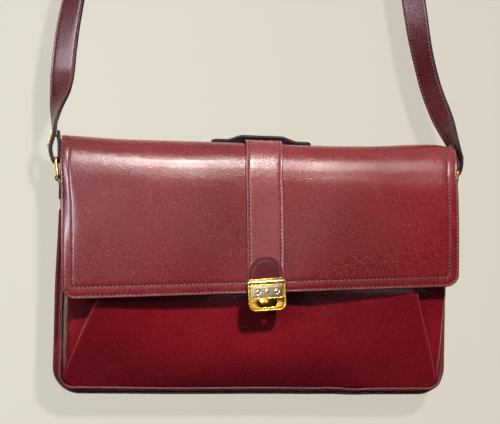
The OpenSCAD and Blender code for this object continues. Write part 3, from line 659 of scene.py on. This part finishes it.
def under_flap(x, s, h):
    return flap_at(x, s + UNDERLAY_FROM, h - FLAP_T - 0.12)


sheet("flap_underlay", FLAP_HALF - 3, FLAP_L - UNDERLAY_FROM - 3, 3, 11, under_flap, 0.8, LINING_FACES,
      dx=5, ds=4, body="flap", replaces=["flap_lining"])

# ---- Middle band and the lock's tab ----

BAND_HALF, BAND_T, BAND_ROW = 18.2, 1.7, 3.2
BAND_FROM = 2.0
BAND_L = FLAP_L - BAND_FROM - 1


def on_band(x, s, h):
    s = s + BAND_FROM
    return flap_at(x, s, h + BAND_T + 0.1 + 1.7 * bell(s, S_CREST - 2, 20))


sheet("band", BAND_HALF, BAND_L, 2, 2, on_band, BAND_T, [band_leather, dark_edge, dark_edge],
      rows=(BAND_ROW,), dx=2, ds=2, ink=0.9, replaces=["flap_band"], flap_blend=True)
for k, x in ((2, BAND_ROW - BAND_HALF), (1, BAND_HALF - BAND_ROW)):
    line = np.array([(x, 3.5), (x, BAND_L - 30)])
    stitches(f"band_stitches_{k}", line, on_band, lift=-0.3, flap_blend=True)

TAB_HALF, TAB_L, TAB_T, TAB_TOP, TAB_ROW = 17.0, 40.0, 1.6, 141.0, 3.0
LOCK_TILT = math.radians(4.6)
LOCK_X, LOCK_Z = 1.2, 100.3
LOCK_SIZE = 0.95


def tilted(u, v):
    """A point right of and above the middle of the tilted lock."""
    c, s = math.cos(LOCK_TILT) * LOCK_SIZE, math.sin(LOCK_TILT) * LOCK_SIZE
    return LOCK_X + u * c - v * s, LOCK_Z + u * s + v * c


def on_tab(x, s, h):
    u, v = tilted(x, TAB_TOP - LOCK_Z - s)
    under = 61.9 + 0.9 * bell(v, 130, 26)
    return np.stack([u, -(under + TAB_T + h), v], 1)


sheet("tab", TAB_HALF, TAB_L, 16.9, 2, on_tab, TAB_T, [tab_leather, dark_edge, dark_edge],
      rows=(TAB_ROW,), dx=2, ds=2, body="flap", replaces=["lock_tab"])
r = TAB_HALF - TAB_ROW
arch = [(r * math.cos(a), TAB_HALF - r * math.sin(a)) for a in np.radians(np.linspace(180, 0, 25))]
stitches("tab_stitches", np.array([(-r, 26)] + arch + [(r, 26)]), on_tab, lift=-0.25, pitch=3.2, length=2.3,
         width=0.7, body="flap")

# ---- Front panel and gores ----

panel_low, panel_high = span("front_panel")
PANEL_Z0, MOUTH_Z = panel_low[2], panel_high[2]
SEAM_X, SEAM_DEPTH, SEAM_R = 189.3, 11.7, 10.8
PANEL_DEPTH, BELLY_Z, BELLY = 12.7, 122.0, 53.0
FRONT_T = 1.8


def seam_x(z):
    """Half of the bag's width at the seam of the front."""
    below = np.maximum(PANEL_Z0 + SEAM_R - z, 0)
    return SEAM_X - SEAM_R + np.sqrt(np.maximum(SEAM_R ** 2 - below ** 2, 0))


# The folds beside the front panel, as (z, distance from the middle)
LEFT_CREASE = [(8, 192), (15, 188.6), (35, 181.8), (58, 173.0), (79, 164.6), (93, 158.6), (112, 155.6),
               (140, 154.5), (225, 156)]
RIGHT_CREASE = [(8, 190), (13, 185.8), (45, 174.8), (64, 167.5), (84, 159.8), (102, 153.8), (112, 152.2),
                (140, 152), (225, 156)]


def crease_depth(z):
    """Depth of the folds beside the front panel, and below of the panel's sagging middle."""
    t = np.clip((z - PANEL_Z0) / 95.3, 0, 1)
    return mix(PANEL_DEPTH, 52.0, t * (1.22 - 0.22 * t)) + 1.0 * smooth((z - 104) / 30)


def middle_depth(z):
    up = z - PANEL_Z0
    return PANEL_DEPTH + 22.5 * (1 - np.exp(-up / 25)) + 0.06 * up + 5.8 * smooth((z - 110) / 90)


# A side's line is drawn through ten points, with this many steps between two. The fourth is the fold's edge
SIDE_PARTS = 5
LIP = 3 * SIDE_PARTS
SIDE_POINTS = 9 * SIDE_PARTS + 1


def shell_row(z):
    """Outer face of the front at a height as (x, depth), and its two fold edges.

    Each side runs from the panel over the fold's edge into the gore, and on to the seam.
    """
    pd, sx = float(crease_depth(z)), float(seam_x(z))
    step = 10.0 * float(smooth((z - 26) / 62)) * (1 - 0.5 * float(smooth((z - 150) / 60)))
    sides = []
    for crease, lean in ((LEFT_CREASE, 1.0), (RIGHT_CREASE, 0.8)):
        zs, xs = zip(*crease)
        # How far the gore has opened, from the closed lower corner up
        k = float(smooth((z - 14) / 50))
        cx = min(float(np.interp(z, zs, xs)), sx - 2.6 - 4.0 * k)
        valley = pd - max(step * lean, 1.5 + 0.8 * k)
        tuck = 0.25 - 0.55 * float(smooth(step / 5))
        lip = pd - 0.6 - 0.8 * k
        shoulder = (sx - 1.0 - 3.6 * k, mix(SEAM_DEPTH, valley, 0.45 + 0.43 * k))
        gore = mix(cx + 1.2, shoulder[0], 0.45), mix(valley, shoulder[1], 0.3) + 0.8 * k
        line = [(cx - 7, pd), (cx - 3, pd + 0.25), (cx - 0.7, pd + 0.1 - 0.5 * k), (cx, lip),
                (cx + tuck, mix(lip, valley, 0.6)), (cx + 0.9, valley), gore, shoulder,
                (sx - 0.5, mix(SEAM_DEPTH, shoulder[1], 0.4)), (sx, SEAM_DEPTH)]
        sides.append(catmull(line, SIDE_PARTS))
    left, right = sides
    xs = np.linspace(-left[0, 0], right[0, 0], 96)[1:-1]
    across = np.clip(xs / 152, -1, 1)
    sag = (pd - float(middle_depth(z))) * (1 - across ** 2) ** 1.1
    sag *= 1 - 0.8 * bell(xs, 0, 30) * float(bell(z, 96, 24))
    waves = 0.55 * np.sin(xs / 27 + 0.6) * math.sin(z / 21 + 0.4) + 0.3 * np.sin(xs / 12.5 + z / 15)
    waves += (1.6 * bell(xs, 70, 75) * float(bell(z, 44, 22))
              + 1.0 * bell(xs, -60, 60) * float(bell(z, 38, 20)))
    waves *= float(smooth((z - 12) / 25)) * smooth((150 - np.abs(xs)) / 30)
    middle = np.stack([xs, pd - sag + waves], 1)
    folds = [(-left[LIP, 0] - 0.2, left[LIP, 1]), (right[LIP, 0] + 0.2, right[LIP, 1])]
    return np.vstack([left[::-1] * [-1, 1], middle, right]), folds


rows_z = np.concatenate([[PANEL_Z0, 9.3, 10.4, 12, 14, 16.5, 19.5, 23], np.arange(26, 223, 2.6), [MOUTH_Z]])
shell, fold_lines = [], ([], [])
for z in rows_z:
    row, folds = shell_row(z)
    shell.append(np.stack([row[:, 0], -row[:, 1], np.full(len(row), z)], 1))
    for fold_line, (x, depth) in zip(fold_lines, folds):
        fold_line.append((x, -depth, z))
shell = np.array(shell)
# Just inside the fold's edge the leather is painted paler, as a painted highlight along the crease
rows, columns = shell.shape[:2]
column = np.arange(columns)
along = SIDE_POINTS - 1 - np.minimum(column, columns - 1 - column)
wear_and_sheen = np.where(along >= 0, bell(along, LIP - 1, 3.0), 0)
thick_grid("front_shell", shell, FRONT_T, PANEL_FACES, wear_and_sheen=np.broadcast_to(wear_and_sheen, (rows, columns)),
           replaces=["front_panel", "gusset_left", "gusset_right"])

# Thin pale cords along the fold edges paint the highlight on the creases
for side, fold_line in zip(("left", "right"), fold_lines):
    fold_line = np.array([point for point in fold_line if 22 < point[2] < 214])
    tube(side + "_fold_highlight", evenly(fold_line, 3.0), 0.42, [fold_highlight_leather], sides=8)

# ---- Back, pipings and edge strip ----

BACK_TOP, BACK_HALF, BACK_L, BACK_CORNER, BACK_ROW = 241.2, 193.4, 236.7, 22.6, 4.0
BACK_TAPER = 1.8
STRIP_TOP, STRIP_T, STRIP_PARTS = span("back_piping")[1][2], 1.4, 360


def taper(z):
    """How much narrower each side of the back is at a height."""
    return BACK_TAPER * smooth((z - 90) / 88)


def on_back(x, s, h):
    z = BACK_TOP - s
    x = x * (1 - taper(z) / 194)
    crown = 1.6 * (1 - (x / 194) ** 2) * np.sin(np.pi * np.clip(s / 237, 0, 1)) ** 0.7
    crown = crown + 0.35 * np.sin(x / 37 + 1) * np.sin(z / 31)
    return np.stack([x, -1.2 + h + crown, z], 1)


sheet("back_shell", BACK_HALF, BACK_L, 2, BACK_CORNER, on_back, 2.0, PANEL_FACES, rows=(BACK_ROW,),
      dx=4, ds=4, replaces=["back_panel"])
stitches("back_stitches", u_line(BACK_HALF, BACK_L, BACK_CORNER, BACK_ROW, start=30), on_back, lift=-0.25)


def u_path(half, low_z, r, step=2.0, wobble=0.0):
    """Sides and bottom of the bag as (x, z), from the left to the right."""
    left = [(-half, STRIP_TOP)] + arc(-(half - r), low_z + r, r, 180, 270, 13)
    line = evenly(np.array(left + [(-x, z) for x, z in left[::-1]]), step)
    bottom = smooth((30 - line[:, 1]) / 20)
    line[:, 1] += wobble * bottom * (0.7 * np.sin(line[:, 0] / 9.5) * bell(line[:, 0], 92, 30)
                                     + 0.35 * np.sin(line[:, 0] / 31 + 1))
    line[:, 0] += wobble * (1 - bottom) * 0.35 * np.sin(line[:, 1] / 23 + np.sign(line[:, 0]))
    line[:, 0] -= np.sign(line[:, 0]) * taper(line[:, 1])
    return line


for name, half, low_z, r, wobble, depth, radius, material, sides in (
        ("back_piping", 195.8, 2.2, 24.8, 0.5, 2.2, 2.2, lit_back_piping_leather, 16),
        ("front_piping", 191.0, 7.0, 12.4, 1.0, SEAM_DEPTH, 1.6, piping_leather, 14)):
    line = u_path(half, low_z, r, wobble=wobble)
    tube(name + "_cord", np.stack([line[:, 0], np.full(len(line), -depth), line[:, 1]], 1), radius,
         [material], sides=sides, replaces=[name])

rails = []
for half, low_z, r in ((195.6, 2.4, 24.8), (191.2, 6.8, 12.4)):
    line = u_path(half, low_z, r, step=1.0)
    at = np.linspace(0, len(line) - 1, STRIP_PARTS)
    rails.append(np.stack([np.interp(at, np.arange(len(line)), line[:, k]) for k in (0, 1)], 1))
strip = []
for t in np.linspace(0, 1, 7):
    line = mix(rails[0], rails[1], t)
    way = measured(line)[1]
    line = line + np.stack([-way[:, 1], way[:, 0]], 1) * (1.5 * math.sin(math.pi * t) - 0.5)
    strip.append(np.stack([line[:, 0], np.full(STRIP_PARTS, -mix(4.3, 10.2, t)), line[:, 1]], 1))
thick_grid("strip_shell", np.array(strip), STRIP_T, [brightened_panel_leather], replaces=["edge_strip"], flip=True)

BOSS = [(0, 6.6), (0.2, 7.6), (0.9, 8.0), (2.3, 7.7), (3.9, 8.0), (4.6, 7.6), (4.85, 6.6)]
for side, name in ((-1, "left"), (1, "right")):
    zs, ys = np.linspace(174, MOUTH_Z, 20), np.linspace(-10.3, -3.4, 6)
    grid = np.array([[(side * (SEAM_X + 0.5 * math.sin((y + 3.4) / 6.9 * math.pi)), y, z) for y in ys]
                     for z in zs])
    thick_grid(f"side_strip_{name}", grid, STRIP_T, [brightened_panel_leather, dark_edge], flip=side > 0,
               replaces=[f"side_top_{name}"])
    lathe(f"boss_{name}", BOSS, (side * 189.4, -13, 196.38), (side, 0, 0), [tab_leather],
          replaces=[f"tab_mount_{name}"])

# ---- Inside ----

def on_lining(x, s, h):
    z = MOUTH_Z - s
    return np.stack([x, -(4.1 + h + 0.5 * np.sin(x / 40) * np.sin(z / 33)), z], 1)


sheet("back_lining_cloth", 184, 211, 2, 20, on_lining, 0.8, [lining_suede], dx=8, ds=8,
      replaces=["back_lining"])

DIVIDER_HALF, DIVIDER_TOP, DIVIDER_T = 158, 217, 1.6


def on_divider(x, s, h):
    """The divider stands halfway between the front panel and the back."""
    z = DIVIDER_TOP - s
    rise = np.clip((z - PANEL_Z0) / (BELLY_Z - PANEL_Z0), 0, 1)
    panel_depth = mix(PANEL_DEPTH, BELLY, np.sin(np.radians(90 * rise)))
    middle = (panel_depth - 2 + 3.2) / 2
    return np.stack([x, -(middle + DIVIDER_T / 2 + h - 1.2 * (1 - (x / DIVIDER_HALF) ** 2)), z], 1)


sheet("divider_sheet", DIVIDER_HALF, 185, 3, 6, on_divider, DIVIDER_T, LINING_FACES, dx=6, ds=6,
      replaces=["divider"])
path = [(x, -52.0, MOUTH_Z + 1.4) for x in np.linspace(-157, 157, 60)]
tube("binding", path, 2.0, [dark_edge], replaces=["mouth_binding"])

# ---- Top handle ----

HANDLE_DEPTH, HANDLE_HALF_L, HANDLE_T = 13.2, 50.0, 3.0
HANDLE_HALF_W, HANDLE_CORNER, HANDLE_ROW = 10, 6, 2.4
HANDLE_DROP = crest_drop(HANDLE_DEPTH)
TILT = math.atan(2 * HANDLE_DROP / (BEND_Y - HANDLE_DEPTH))


def on_handle(x, s, h):
    """x runs across the strip and s along it; between its ends the strip stands clear of the crest."""
    along = s - HANDLE_HALF_L
    clear = (2.8 + HANDLE_DROP) * smooth((HANDLE_HALF_L - 14 - np.abs(along)) / 17)
    up = 0.1 + clear + HANDLE_T + h
    y = -HANDLE_DEPTH + x * math.cos(TILT) + up * math.sin(TILT)
    z = BAG_H - HANDLE_DROP - x * math.sin(TILT) + up * math.cos(TILT)
    return np.stack([along, y, z + crest_height(along) + 0.8], 1)


sheet("handle_strip", HANDLE_HALF_W, 2 * HANDLE_HALF_L, HANDLE_CORNER, HANDLE_CORNER, on_handle, HANDLE_T,
      STRAP_FACES, rows=(HANDLE_ROW,), dx=2, ds=1.5, body="flap", replaces=["top_handle"])
line = u_line(HANDLE_HALF_W, 2 * HANDLE_HALF_L, HANDLE_CORNER, HANDLE_ROW, start=HANDLE_CORNER)
stitches("handle_stitches", np.vstack([line, line[:1]]), on_handle, lift=-0.2, body="flap")

# ---- Shoulder strap ----

RING_X, RING_DEPTH, RING_Z = 200.1, 13.0, 228.0
DROP, LEAN, STRAP_HALF, STRAP_T, STRAP_ROW = 540.0, 12.0, 12.5, 3.4, 2.3
RIGHT_LEAN = math.radians(5)


def leaned(side, a, b):
    """A point of a strap loop, measured outwards and up from the ring's bar."""
    lean = RIGHT_LEAN if side > 0 else 0
    a, b = a * math.cos(lean) - b * math.sin(lean), a * math.sin(lean) + b * math.cos(lean)
    return side * (RING_X + a), -RING_DEPTH, RING_Z + b


def strap_route():
    """Middle line of the strap: round the left ring's bar, up and over, and round the right one's."""
    tail = [(-1.4, 27), (-3.2, 14)]
    turn = arc(0, 0, 3.5, 180, 360, 7)
    out = [(5.2, 5), (5.9, 11), (4.3, 18), (2.2, 27)]
    loop = tail + turn + out
    # The arch is a superellipse of this power
    power = 2.63
    first = math.acos((1 - 32 / DROP) ** (1 / power))
    arch = []
    for phi in np.linspace(first, math.pi - first, 57):
        s = -math.cos(phi)
        up = DROP * (1 - abs(s) ** power)
        lean = LEAN * math.sin(math.radians(90 * min(1, max(0, up - 20) / 130)))
        start, end = leaned(math.copysign(1, s), 2.2, 27)[0], RING_X * s - lean
        if s < 0:
            x = mix(start, end, smooth((up - 27) / 53))
        else:
            # Straight away from the ring, rounded into the arch where they meet
            straight = start - 0.33 * (up - 27)
            over = 1.5 * math.log1p(math.exp(min(20, (straight - end) / 1.5)))
            x = end + over * (1 - smooth((up - 320) / 120))
        arch.append((x, mix(-RING_DEPTH, 6.5, smooth((up - 20) / 70)), RING_Z + up))
    left = [leaned(-1, a, b) for a, b in loop]
    right = [leaned(1, a, b) for a, b in loop[::-1]]
    return evenly(catmull(left + arch + right, 6), 2.5)


ROUTE = strap_route()
R_S, way = measured(ROUTE)
STRAP_L = R_S[-1]
flat_way = np.array([0, 1, 0]) - way[:, 1:2] * way
flat_way /= np.linalg.norm(flat_way, axis=1, keepdims=True)
face_way = np.cross(way, flat_way)
# Both legs twist above their rings and come back to flat at the top
ups = ROUTE[:, 2] - RING_Z
left_turn = 65 * smooth((ups - 22) / 68) * (1 - smooth((ups / DROP - 0.17) / 0.5))
right_turn = -(38 * smooth((ups - 14) / 50) + 14 * smooth((ups - 110) / 60))
right_turn = right_turn * (1 - smooth((ups / DROP - 0.4) / 0.5))
turn = np.radians(np.where(R_S < STRAP_L / 2, left_turn, right_turn))[:, None]
WIDE = np.cos(turn) * flat_way + np.sin(turn) * face_way
THICK = np.cos(turn) * face_way - np.sin(turn) * flat_way


def on_strap(x, s, h):
    middle, wide, thick = (np.stack([np.interp(s, R_S, v[:, k]) for k in range(3)], 1)
                           for v in (ROUTE, WIDE, THICK))
    h = h - 0.22 * (np.abs(x) / STRAP_HALF) ** 4
    return middle + wide * x[:, None] + thick * (STRAP_T / 2 + h)[:, None]


sheet("strap_band", STRAP_HALF, STRAP_L, 3, 3, on_strap, STRAP_T, STRAP_FACES, rows=(STRAP_ROW,),
      dx=3, ds=3, groove=0.25, body="hanger", replaces=["strap"])
for k, x in ((2, STRAP_ROW - STRAP_HALF), (1, STRAP_HALF - STRAP_ROW)):
    line = np.array([(x, 4), (x, STRAP_L - 4)])
    stitches(f"strap_stitches_{k}", line, on_strap, lift=-0.4, body="hanger")
    stitches(f"strap_stitches_in_{k}", line, on_strap, lift=-STRAP_T + 0.05, under=True, body="hanger")

# ---- Ring tabs ----

# Middle line of a ring tab's leather as (x, z): up outside the boss, round the ring and down again
EYE_X, EYE_Z, EYE_R = 197.98, 209.38, 2.35
tab_line = [(194.95, 189.2), (194.95, 200), (195.1, 206)]
tab_line += arc(EYE_X, EYE_Z, EYE_R, 190, -80, 10)
tab_line += [(196.6, 205.6), (196.1, 201), (196.05, 189.2)]
tab_line = evenly(catmull(tab_line, 5), 0.6)
TAB_S, tab_way = measured(tab_line)

for side, name in ((-1, "left"), (1, "right")):
    def on_ring_tab(x, s, h, side=side):
        out, up, way_x, way_z = (np.interp(s, TAB_S, v) for v in (*tab_line.T, *tab_way.T))
        return np.stack([side * (out - way_z * (h + 0.5)), -RING_DEPTH + x, up + way_x * (h + 0.5)], 1)

    sheet(f"ring_tab_leather_{name}", 7.4, TAB_S[-1], 6, 6, on_ring_tab, 1.0, STRAP_FACES, dx=1.5, ds=1.0,
          body="hanger", replaces=[f"ring_tab_{name}"])

# ---- Lock ----

def rounded(u0, v0, u1, v1, r_low, r_high, parts=8):
    """Corners of a rectangle as a closed line, with separate radii at its lower and upper ends."""
    line = []
    for cu, cv, r, start in ((u0 + r_low, v0 + r_low, r_low, 180), (u1 - r_low, v0 + r_low, r_low, 270),
                             (u1 - r_high, v1 - r_high, r_high, 0), (u0 + r_high, v1 - r_high, r_high, 90)):
        line += arc(cu, cv, r, start, start + 90, parts + 1)
    return line


def plate(name, loops, back, t, bevel, materials, **kind):
    """A plate with bevelled edges, seen from the front, with holes. Loops are in the lock's own axes."""
    curve = bpy.data.curves.new(name, "CURVE")
    curve.dimensions, curve.fill_mode = "2D", "BOTH"
    curve.extrude, curve.bevel_depth, curve.bevel_resolution, curve.offset = t / 2 - bevel, bevel, 2, -bevel
    for loop in loops:
        spline = curve.splines.new("POLY")
        spline.points.add(len(loop) - 1)
        for point, (u, v) in zip(spline.points, loop):
            point.co = (u, v, 0, 1)
        spline.use_cyclic_u = True
    holder = add_object(name + "_curve", curve)
    bpy.context.view_layer.update()
    mesh = bpy.data.meshes.new_from_object(holder.evaluated_get(bpy.context.evaluated_depsgraph_get()))
    co = np.array([v.co for v in mesh.vertices])
    faces = [tuple(p.vertices) for p in mesh.polygons]
    bpy.data.objects.remove(holder)
    u, v = tilted(co[:, 0], co[:, 1])
    obj = build(name, np.stack([u, -(back + t / 2 + co[:, 2]), v], 1), faces, materials, merge=0.01, **kind)
    bpy.data.meshes.remove(mesh)
    return obj


LOCK_BACK = -span("lock_plate")[1][1]
# Middle of the knob's slot and of the inset, above the middle of the lock
SLOT_V, INSET_V = 94.7 - LOCK_Z, 106.2 - LOCK_Z


def around_inset(half, below, above, r_low, r_high):
    """A rounded rectangle about the middle of the inset."""
    return rounded(-half, INSET_V - below, half, INSET_V + above, r_low, r_high, 4)


outer = rounded(-19.25, -14, 19.25, 14, 7.5, 0.8)
rim_in = rounded(-17.4, -12.2, 17.4, 13.2, 6.0, 0.8)
slot = rounded(-9.75, SLOT_V - 4.3, 9.75, SLOT_V + 4.3, 4.25, 4.25)
slot_wall = rounded(-11.2, SLOT_V - 5.7, 11.2, SLOT_V + 5.7, 5.6, 5.6)
window_out, window_in = around_inset(17.5, 7.3, 7.0, 1.4, 1.2), around_inset(16.6, 6.4, 6.4, 1.2, 1.2)
inset, inset_step = around_inset(16.2, 6.0, 6.0, 1.2, 1.2), around_inset(14.6, 4.5, 4.5, 1.0, 1.0)
# Each plate's loops, its back in front of the lock plate's back, thickness, bevel and material
# The slot's wall takes the dark brass of painted shade
for name, loops, out, t, bevel, material, replaces in (
        ("lock_plate_body", [outer, slot], 0, 1.5, 0.5, gold, ["lock_plate"]),
        ("lock_slot_wall", [slot_wall, slot], -1.7, 1.7, 0.1, slot_shade_brass, []),
        ("lock_rim", [outer, rim_in], 1.3, 1.1, 0.45, gold, []),
        ("lock_window", [window_out, window_in], 1.3, 0.9, 0.3, gold, []),
        ("lock_inset_body", [inset], 1.4, 1.0, 0.4, silver, ["lock_inset"]),
        ("lock_inset_step", [inset_step], 2.2, 0.45, 0.2, silver, [])):
    plate(name, loops, LOCK_BACK + out, t, bevel, [material], body="flap", replaces=replaces)


def turned(name, u, profile, material, **kind):
    """A round piece on the lock's inset. Its profile holds (depth, radius)."""
    x, z = tilted(u, INSET_V)
    return lathe(name, profile, (x, 0, z), (0, -1, 0), [material], sides=28, body="flap", **kind)


RECESS = [(66.1, 3.4), (66.45, 3.35), (66.5, 3.1), (66.25, 2.9), (66.1, 2.2)]
RIVET = [(56.7, 1.2), (66.1, 1.2), (66.1, 2.1), (66.4, 2.05), (66.6, 1.7), (66.7, 1.0), (66.72, 0.3)]
for k, u in enumerate((-9.6, 9.6)):
    turned(f"lock_recess_{k}", u, RECESS, silver)
    turned(f"lock_rivet_{k}", u, RIVET, pale_gold, replaces=["lock_rivets"] if k == 0 else ())
turned("lock_boss", 0, [(66.1, 3.3), (66.4, 3.2), (66.45, 2.9), (66.3, 2.6), (66.35, 2.0), (66.7, 1.4),
                        (66.8, 0.3)], silver)
roll = [tilted(u, 15.3) for u in (-17.9, 17.9)]
tube("lock_roll_bar", [(mix(roll[0][0], roll[1][0], t), -65.2, mix(roll[0][1], roll[1][1], t))
                       for t in np.linspace(0, 1, 12)], 1.75, [pale_gold], sides=20, body="flap",
     replaces=["lock_roll"])
plate("lock_top_strip", [rounded(-17.0, 15.6, 16.4, 18.6, 0.4, 0.6, 3)], LOCK_BACK, 1.0, 0.3, [gold],
      body="flap")

# ---- Finish of the CAD's own metal pieces ----

# The lock's base takes the dark brass that paints the shade seen through the slot
for material, nodes in ((gold, ("tab_rivet_left", "tab_rivet_right", "base_rivets", "handle_rivets",
                                "turn_knob", "knob_shaft", "ring_left", "ring_right")),
                        (pale_gold, ("strap_plate_left", "strap_plate_right", "strap_rivets_left",
                                     "strap_rivets_right")),
                        (silver, ("lock_base_washer", "lock_back_plate", "handle_washers", "shaft_clip")),
                        (slot_shade_brass, ("lock_base",))):
    for node in nodes:
        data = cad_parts[node].data
        data.materials.clear()
        data.materials.append(material)

# ---- Room ----

WALL_GLOW = 0.78
WALL_Y, FLOOR_Z, SIDE, TOP, NEAR, FAR = 250, -700, 1500, 1600, -2000, 1500


def stage_plane(name, corners, colour, shaded_colour, shines):
    """A plane of the room, painted slightly darker towards the right as painted shade. The camera sees it
    by a steady glow of its colour, and only from its front.
    """
    n = Nodes(name)
    x = n.add("ShaderNodeSeparateXYZ", ((0, n.where),)).outputs["X"]
    # Painted shade: the plane's colour darkens towards the right
    shade = n.blend(n.fit(x, -0.25, 0.30, 0, 1), colour, shaded_colour)
    n.set(Base_Color=shade, Roughness=0.6, Specular_IOR_Level=0.2,
          Normal=n.bump(n.noise(120, 3), 0.03, 0.001))
    glow = n.add("ShaderNodeEmission", (("Color", shade),)).outputs[0]
    seen = n.math("MULTIPLY", n.add("ShaderNodeLightPath").outputs["Is Camera Ray"], WALL_GLOW)
    front = n.both(seen, n.tree.nodes["Principled BSDF"].outputs[0], glow)
    back = n.add("ShaderNodeNewGeometry").outputs["Backfacing"]
    clear = n.add("ShaderNodeBsdfTransparent").outputs[0]
    n.feed(n.tree.nodes["Material Output"].inputs["Surface"], n.both(back, front, clear))
    mesh = bpy.data.meshes.new(name)
    mesh.from_pydata(bag(corners).tolist(), [], [(0, 1, 2, 3)])
    mesh.materials.append(n.owner)
    obj = add_object(name, mesh)
    obj.visible_diffuse = False
    obj.visible_glossy = shines
    obj.visible_shadow = False
    return obj


wall = stage_plane("wall", [(-SIDE, WALL_Y, FLOOR_Z), (SIDE, WALL_Y, FLOOR_Z), (SIDE, WALL_Y, TOP),
                            (-SIDE, WALL_Y, TOP)], srgb(226, 222, 207), srgb(221, 214, 199), shines=True)
stage_plane("floor", [(-SIDE, NEAR, FLOOR_Z), (SIDE, NEAR, FLOOR_Z), (SIDE, FAR, FLOOR_Z),
                      (-SIDE, FAR, FLOOR_Z)], srgb(226, 221, 208), srgb(220, 213, 198), shines=False)

CENTRE = (0, -30, 170)


def lamp(name, position, size, power, colour, size_y=None):
    """A lamp that faces the bag's centre: round, or a rectangle where size_y is given."""
    data = bpy.data.lights.new(name, "AREA")
    data.shape = "RECTANGLE" if size_y else "DISK"
    data.size = size
    if size_y:
        data.size_y = size_y
    data.energy, data.color = power, colour
    obj = add_object(name, data)
    obj.location = bag(position)
    obj.rotation_mode = "QUATERNION"
    obj.rotation_quaternion = (Vector(bag(CENTRE)) - obj.location).to_track_quat("-Z", "Y")
    return obj


key = lamp("key", (630, -3000, 2410), 0.3, 150, (1.0, 0.97, 0.93))
key.visible_glossy = False
fill = lamp("fill", (-1900, -1700, 700), 0.7, 15, (0.88, 0.94, 1.0))
# Pale surfaces of the room that only show as sheen on the leather and the metal
for name, place, wide, high, power, colour in (
        ("glint", (370, -3000, 2950), 0.5, 0.25, 72, (1.0, 0.97, 0.89)),
        ("glow", (330, -3000, 2150), 0.5, 0.3, 32, (1.0, 0.96, 0.9)),
        ("room", (-340, -1280, 270), 1.6, 0.65, 4.0, (1.0, 0.96, 0.93)),
        ("row", (-60, -1290, 1140), 0.6, 0.12, 3, (1.0, 0.97, 0.93)),
        ("window", (-900, -1350, 380), 0.4, 0.7, 19, (0.82, 0.86, 1.0))):
    lamp(name, place, wide, power, colour, high).visible_diffuse = False
back_fill = lamp("back_fill", (300, 1500, 900), 1.4, 20, (1.0, 0.98, 0.95))
wall_light = lamp("wall_light", (-105, -1190, 290), 0.035, 17, (1.0, 0.98, 0.95))
# The wall stands clear of the swinging bag, and has a lamp of its own for the bag's close shadow
for lit_by, state in ((key, "EXCLUDE"), (fill, "EXCLUDE"), (back_fill, "EXCLUDE"), (wall_light, "INCLUDE")):
    group = bpy.data.collections.new(lit_by.name + "_wall")
    group.objects.link(wall)
    lit_by.light_linking.receiver_collection = group
    for member in group.collection_objects:
        member.light_linking.link_state = state

# The room is dim at eye level and bright at the ceiling, and the camera sees the wall's colour all round
n = Nodes("world", bpy.data.worlds)
bpy.context.scene.world = n.owner
towards = n.add("ShaderNodeTexCoord").outputs["Generated"]
up = n.add("ShaderNodeSeparateXYZ", ((0, towards),)).outputs["Z"]
light = n.tree.nodes["Background"]
n.feed(light.inputs["Color"], (0.93, 0.95, 1.0, 1))
n.feed(light.inputs["Strength"], n.fit(up, 0.2, 0.85, 0.03, 0.72, "SMOOTHSTEP"))
seen = n.add("ShaderNodeBackground", (("Color", srgb(226, 222, 210)), ("Strength", 1.0)))
camera = n.add("ShaderNodeLightPath").outputs["Is Camera Ray"]
n.feed(n.tree.nodes["World Output"].inputs["Surface"],
       n.both(camera, light.outputs[0], seen.outputs[0]))
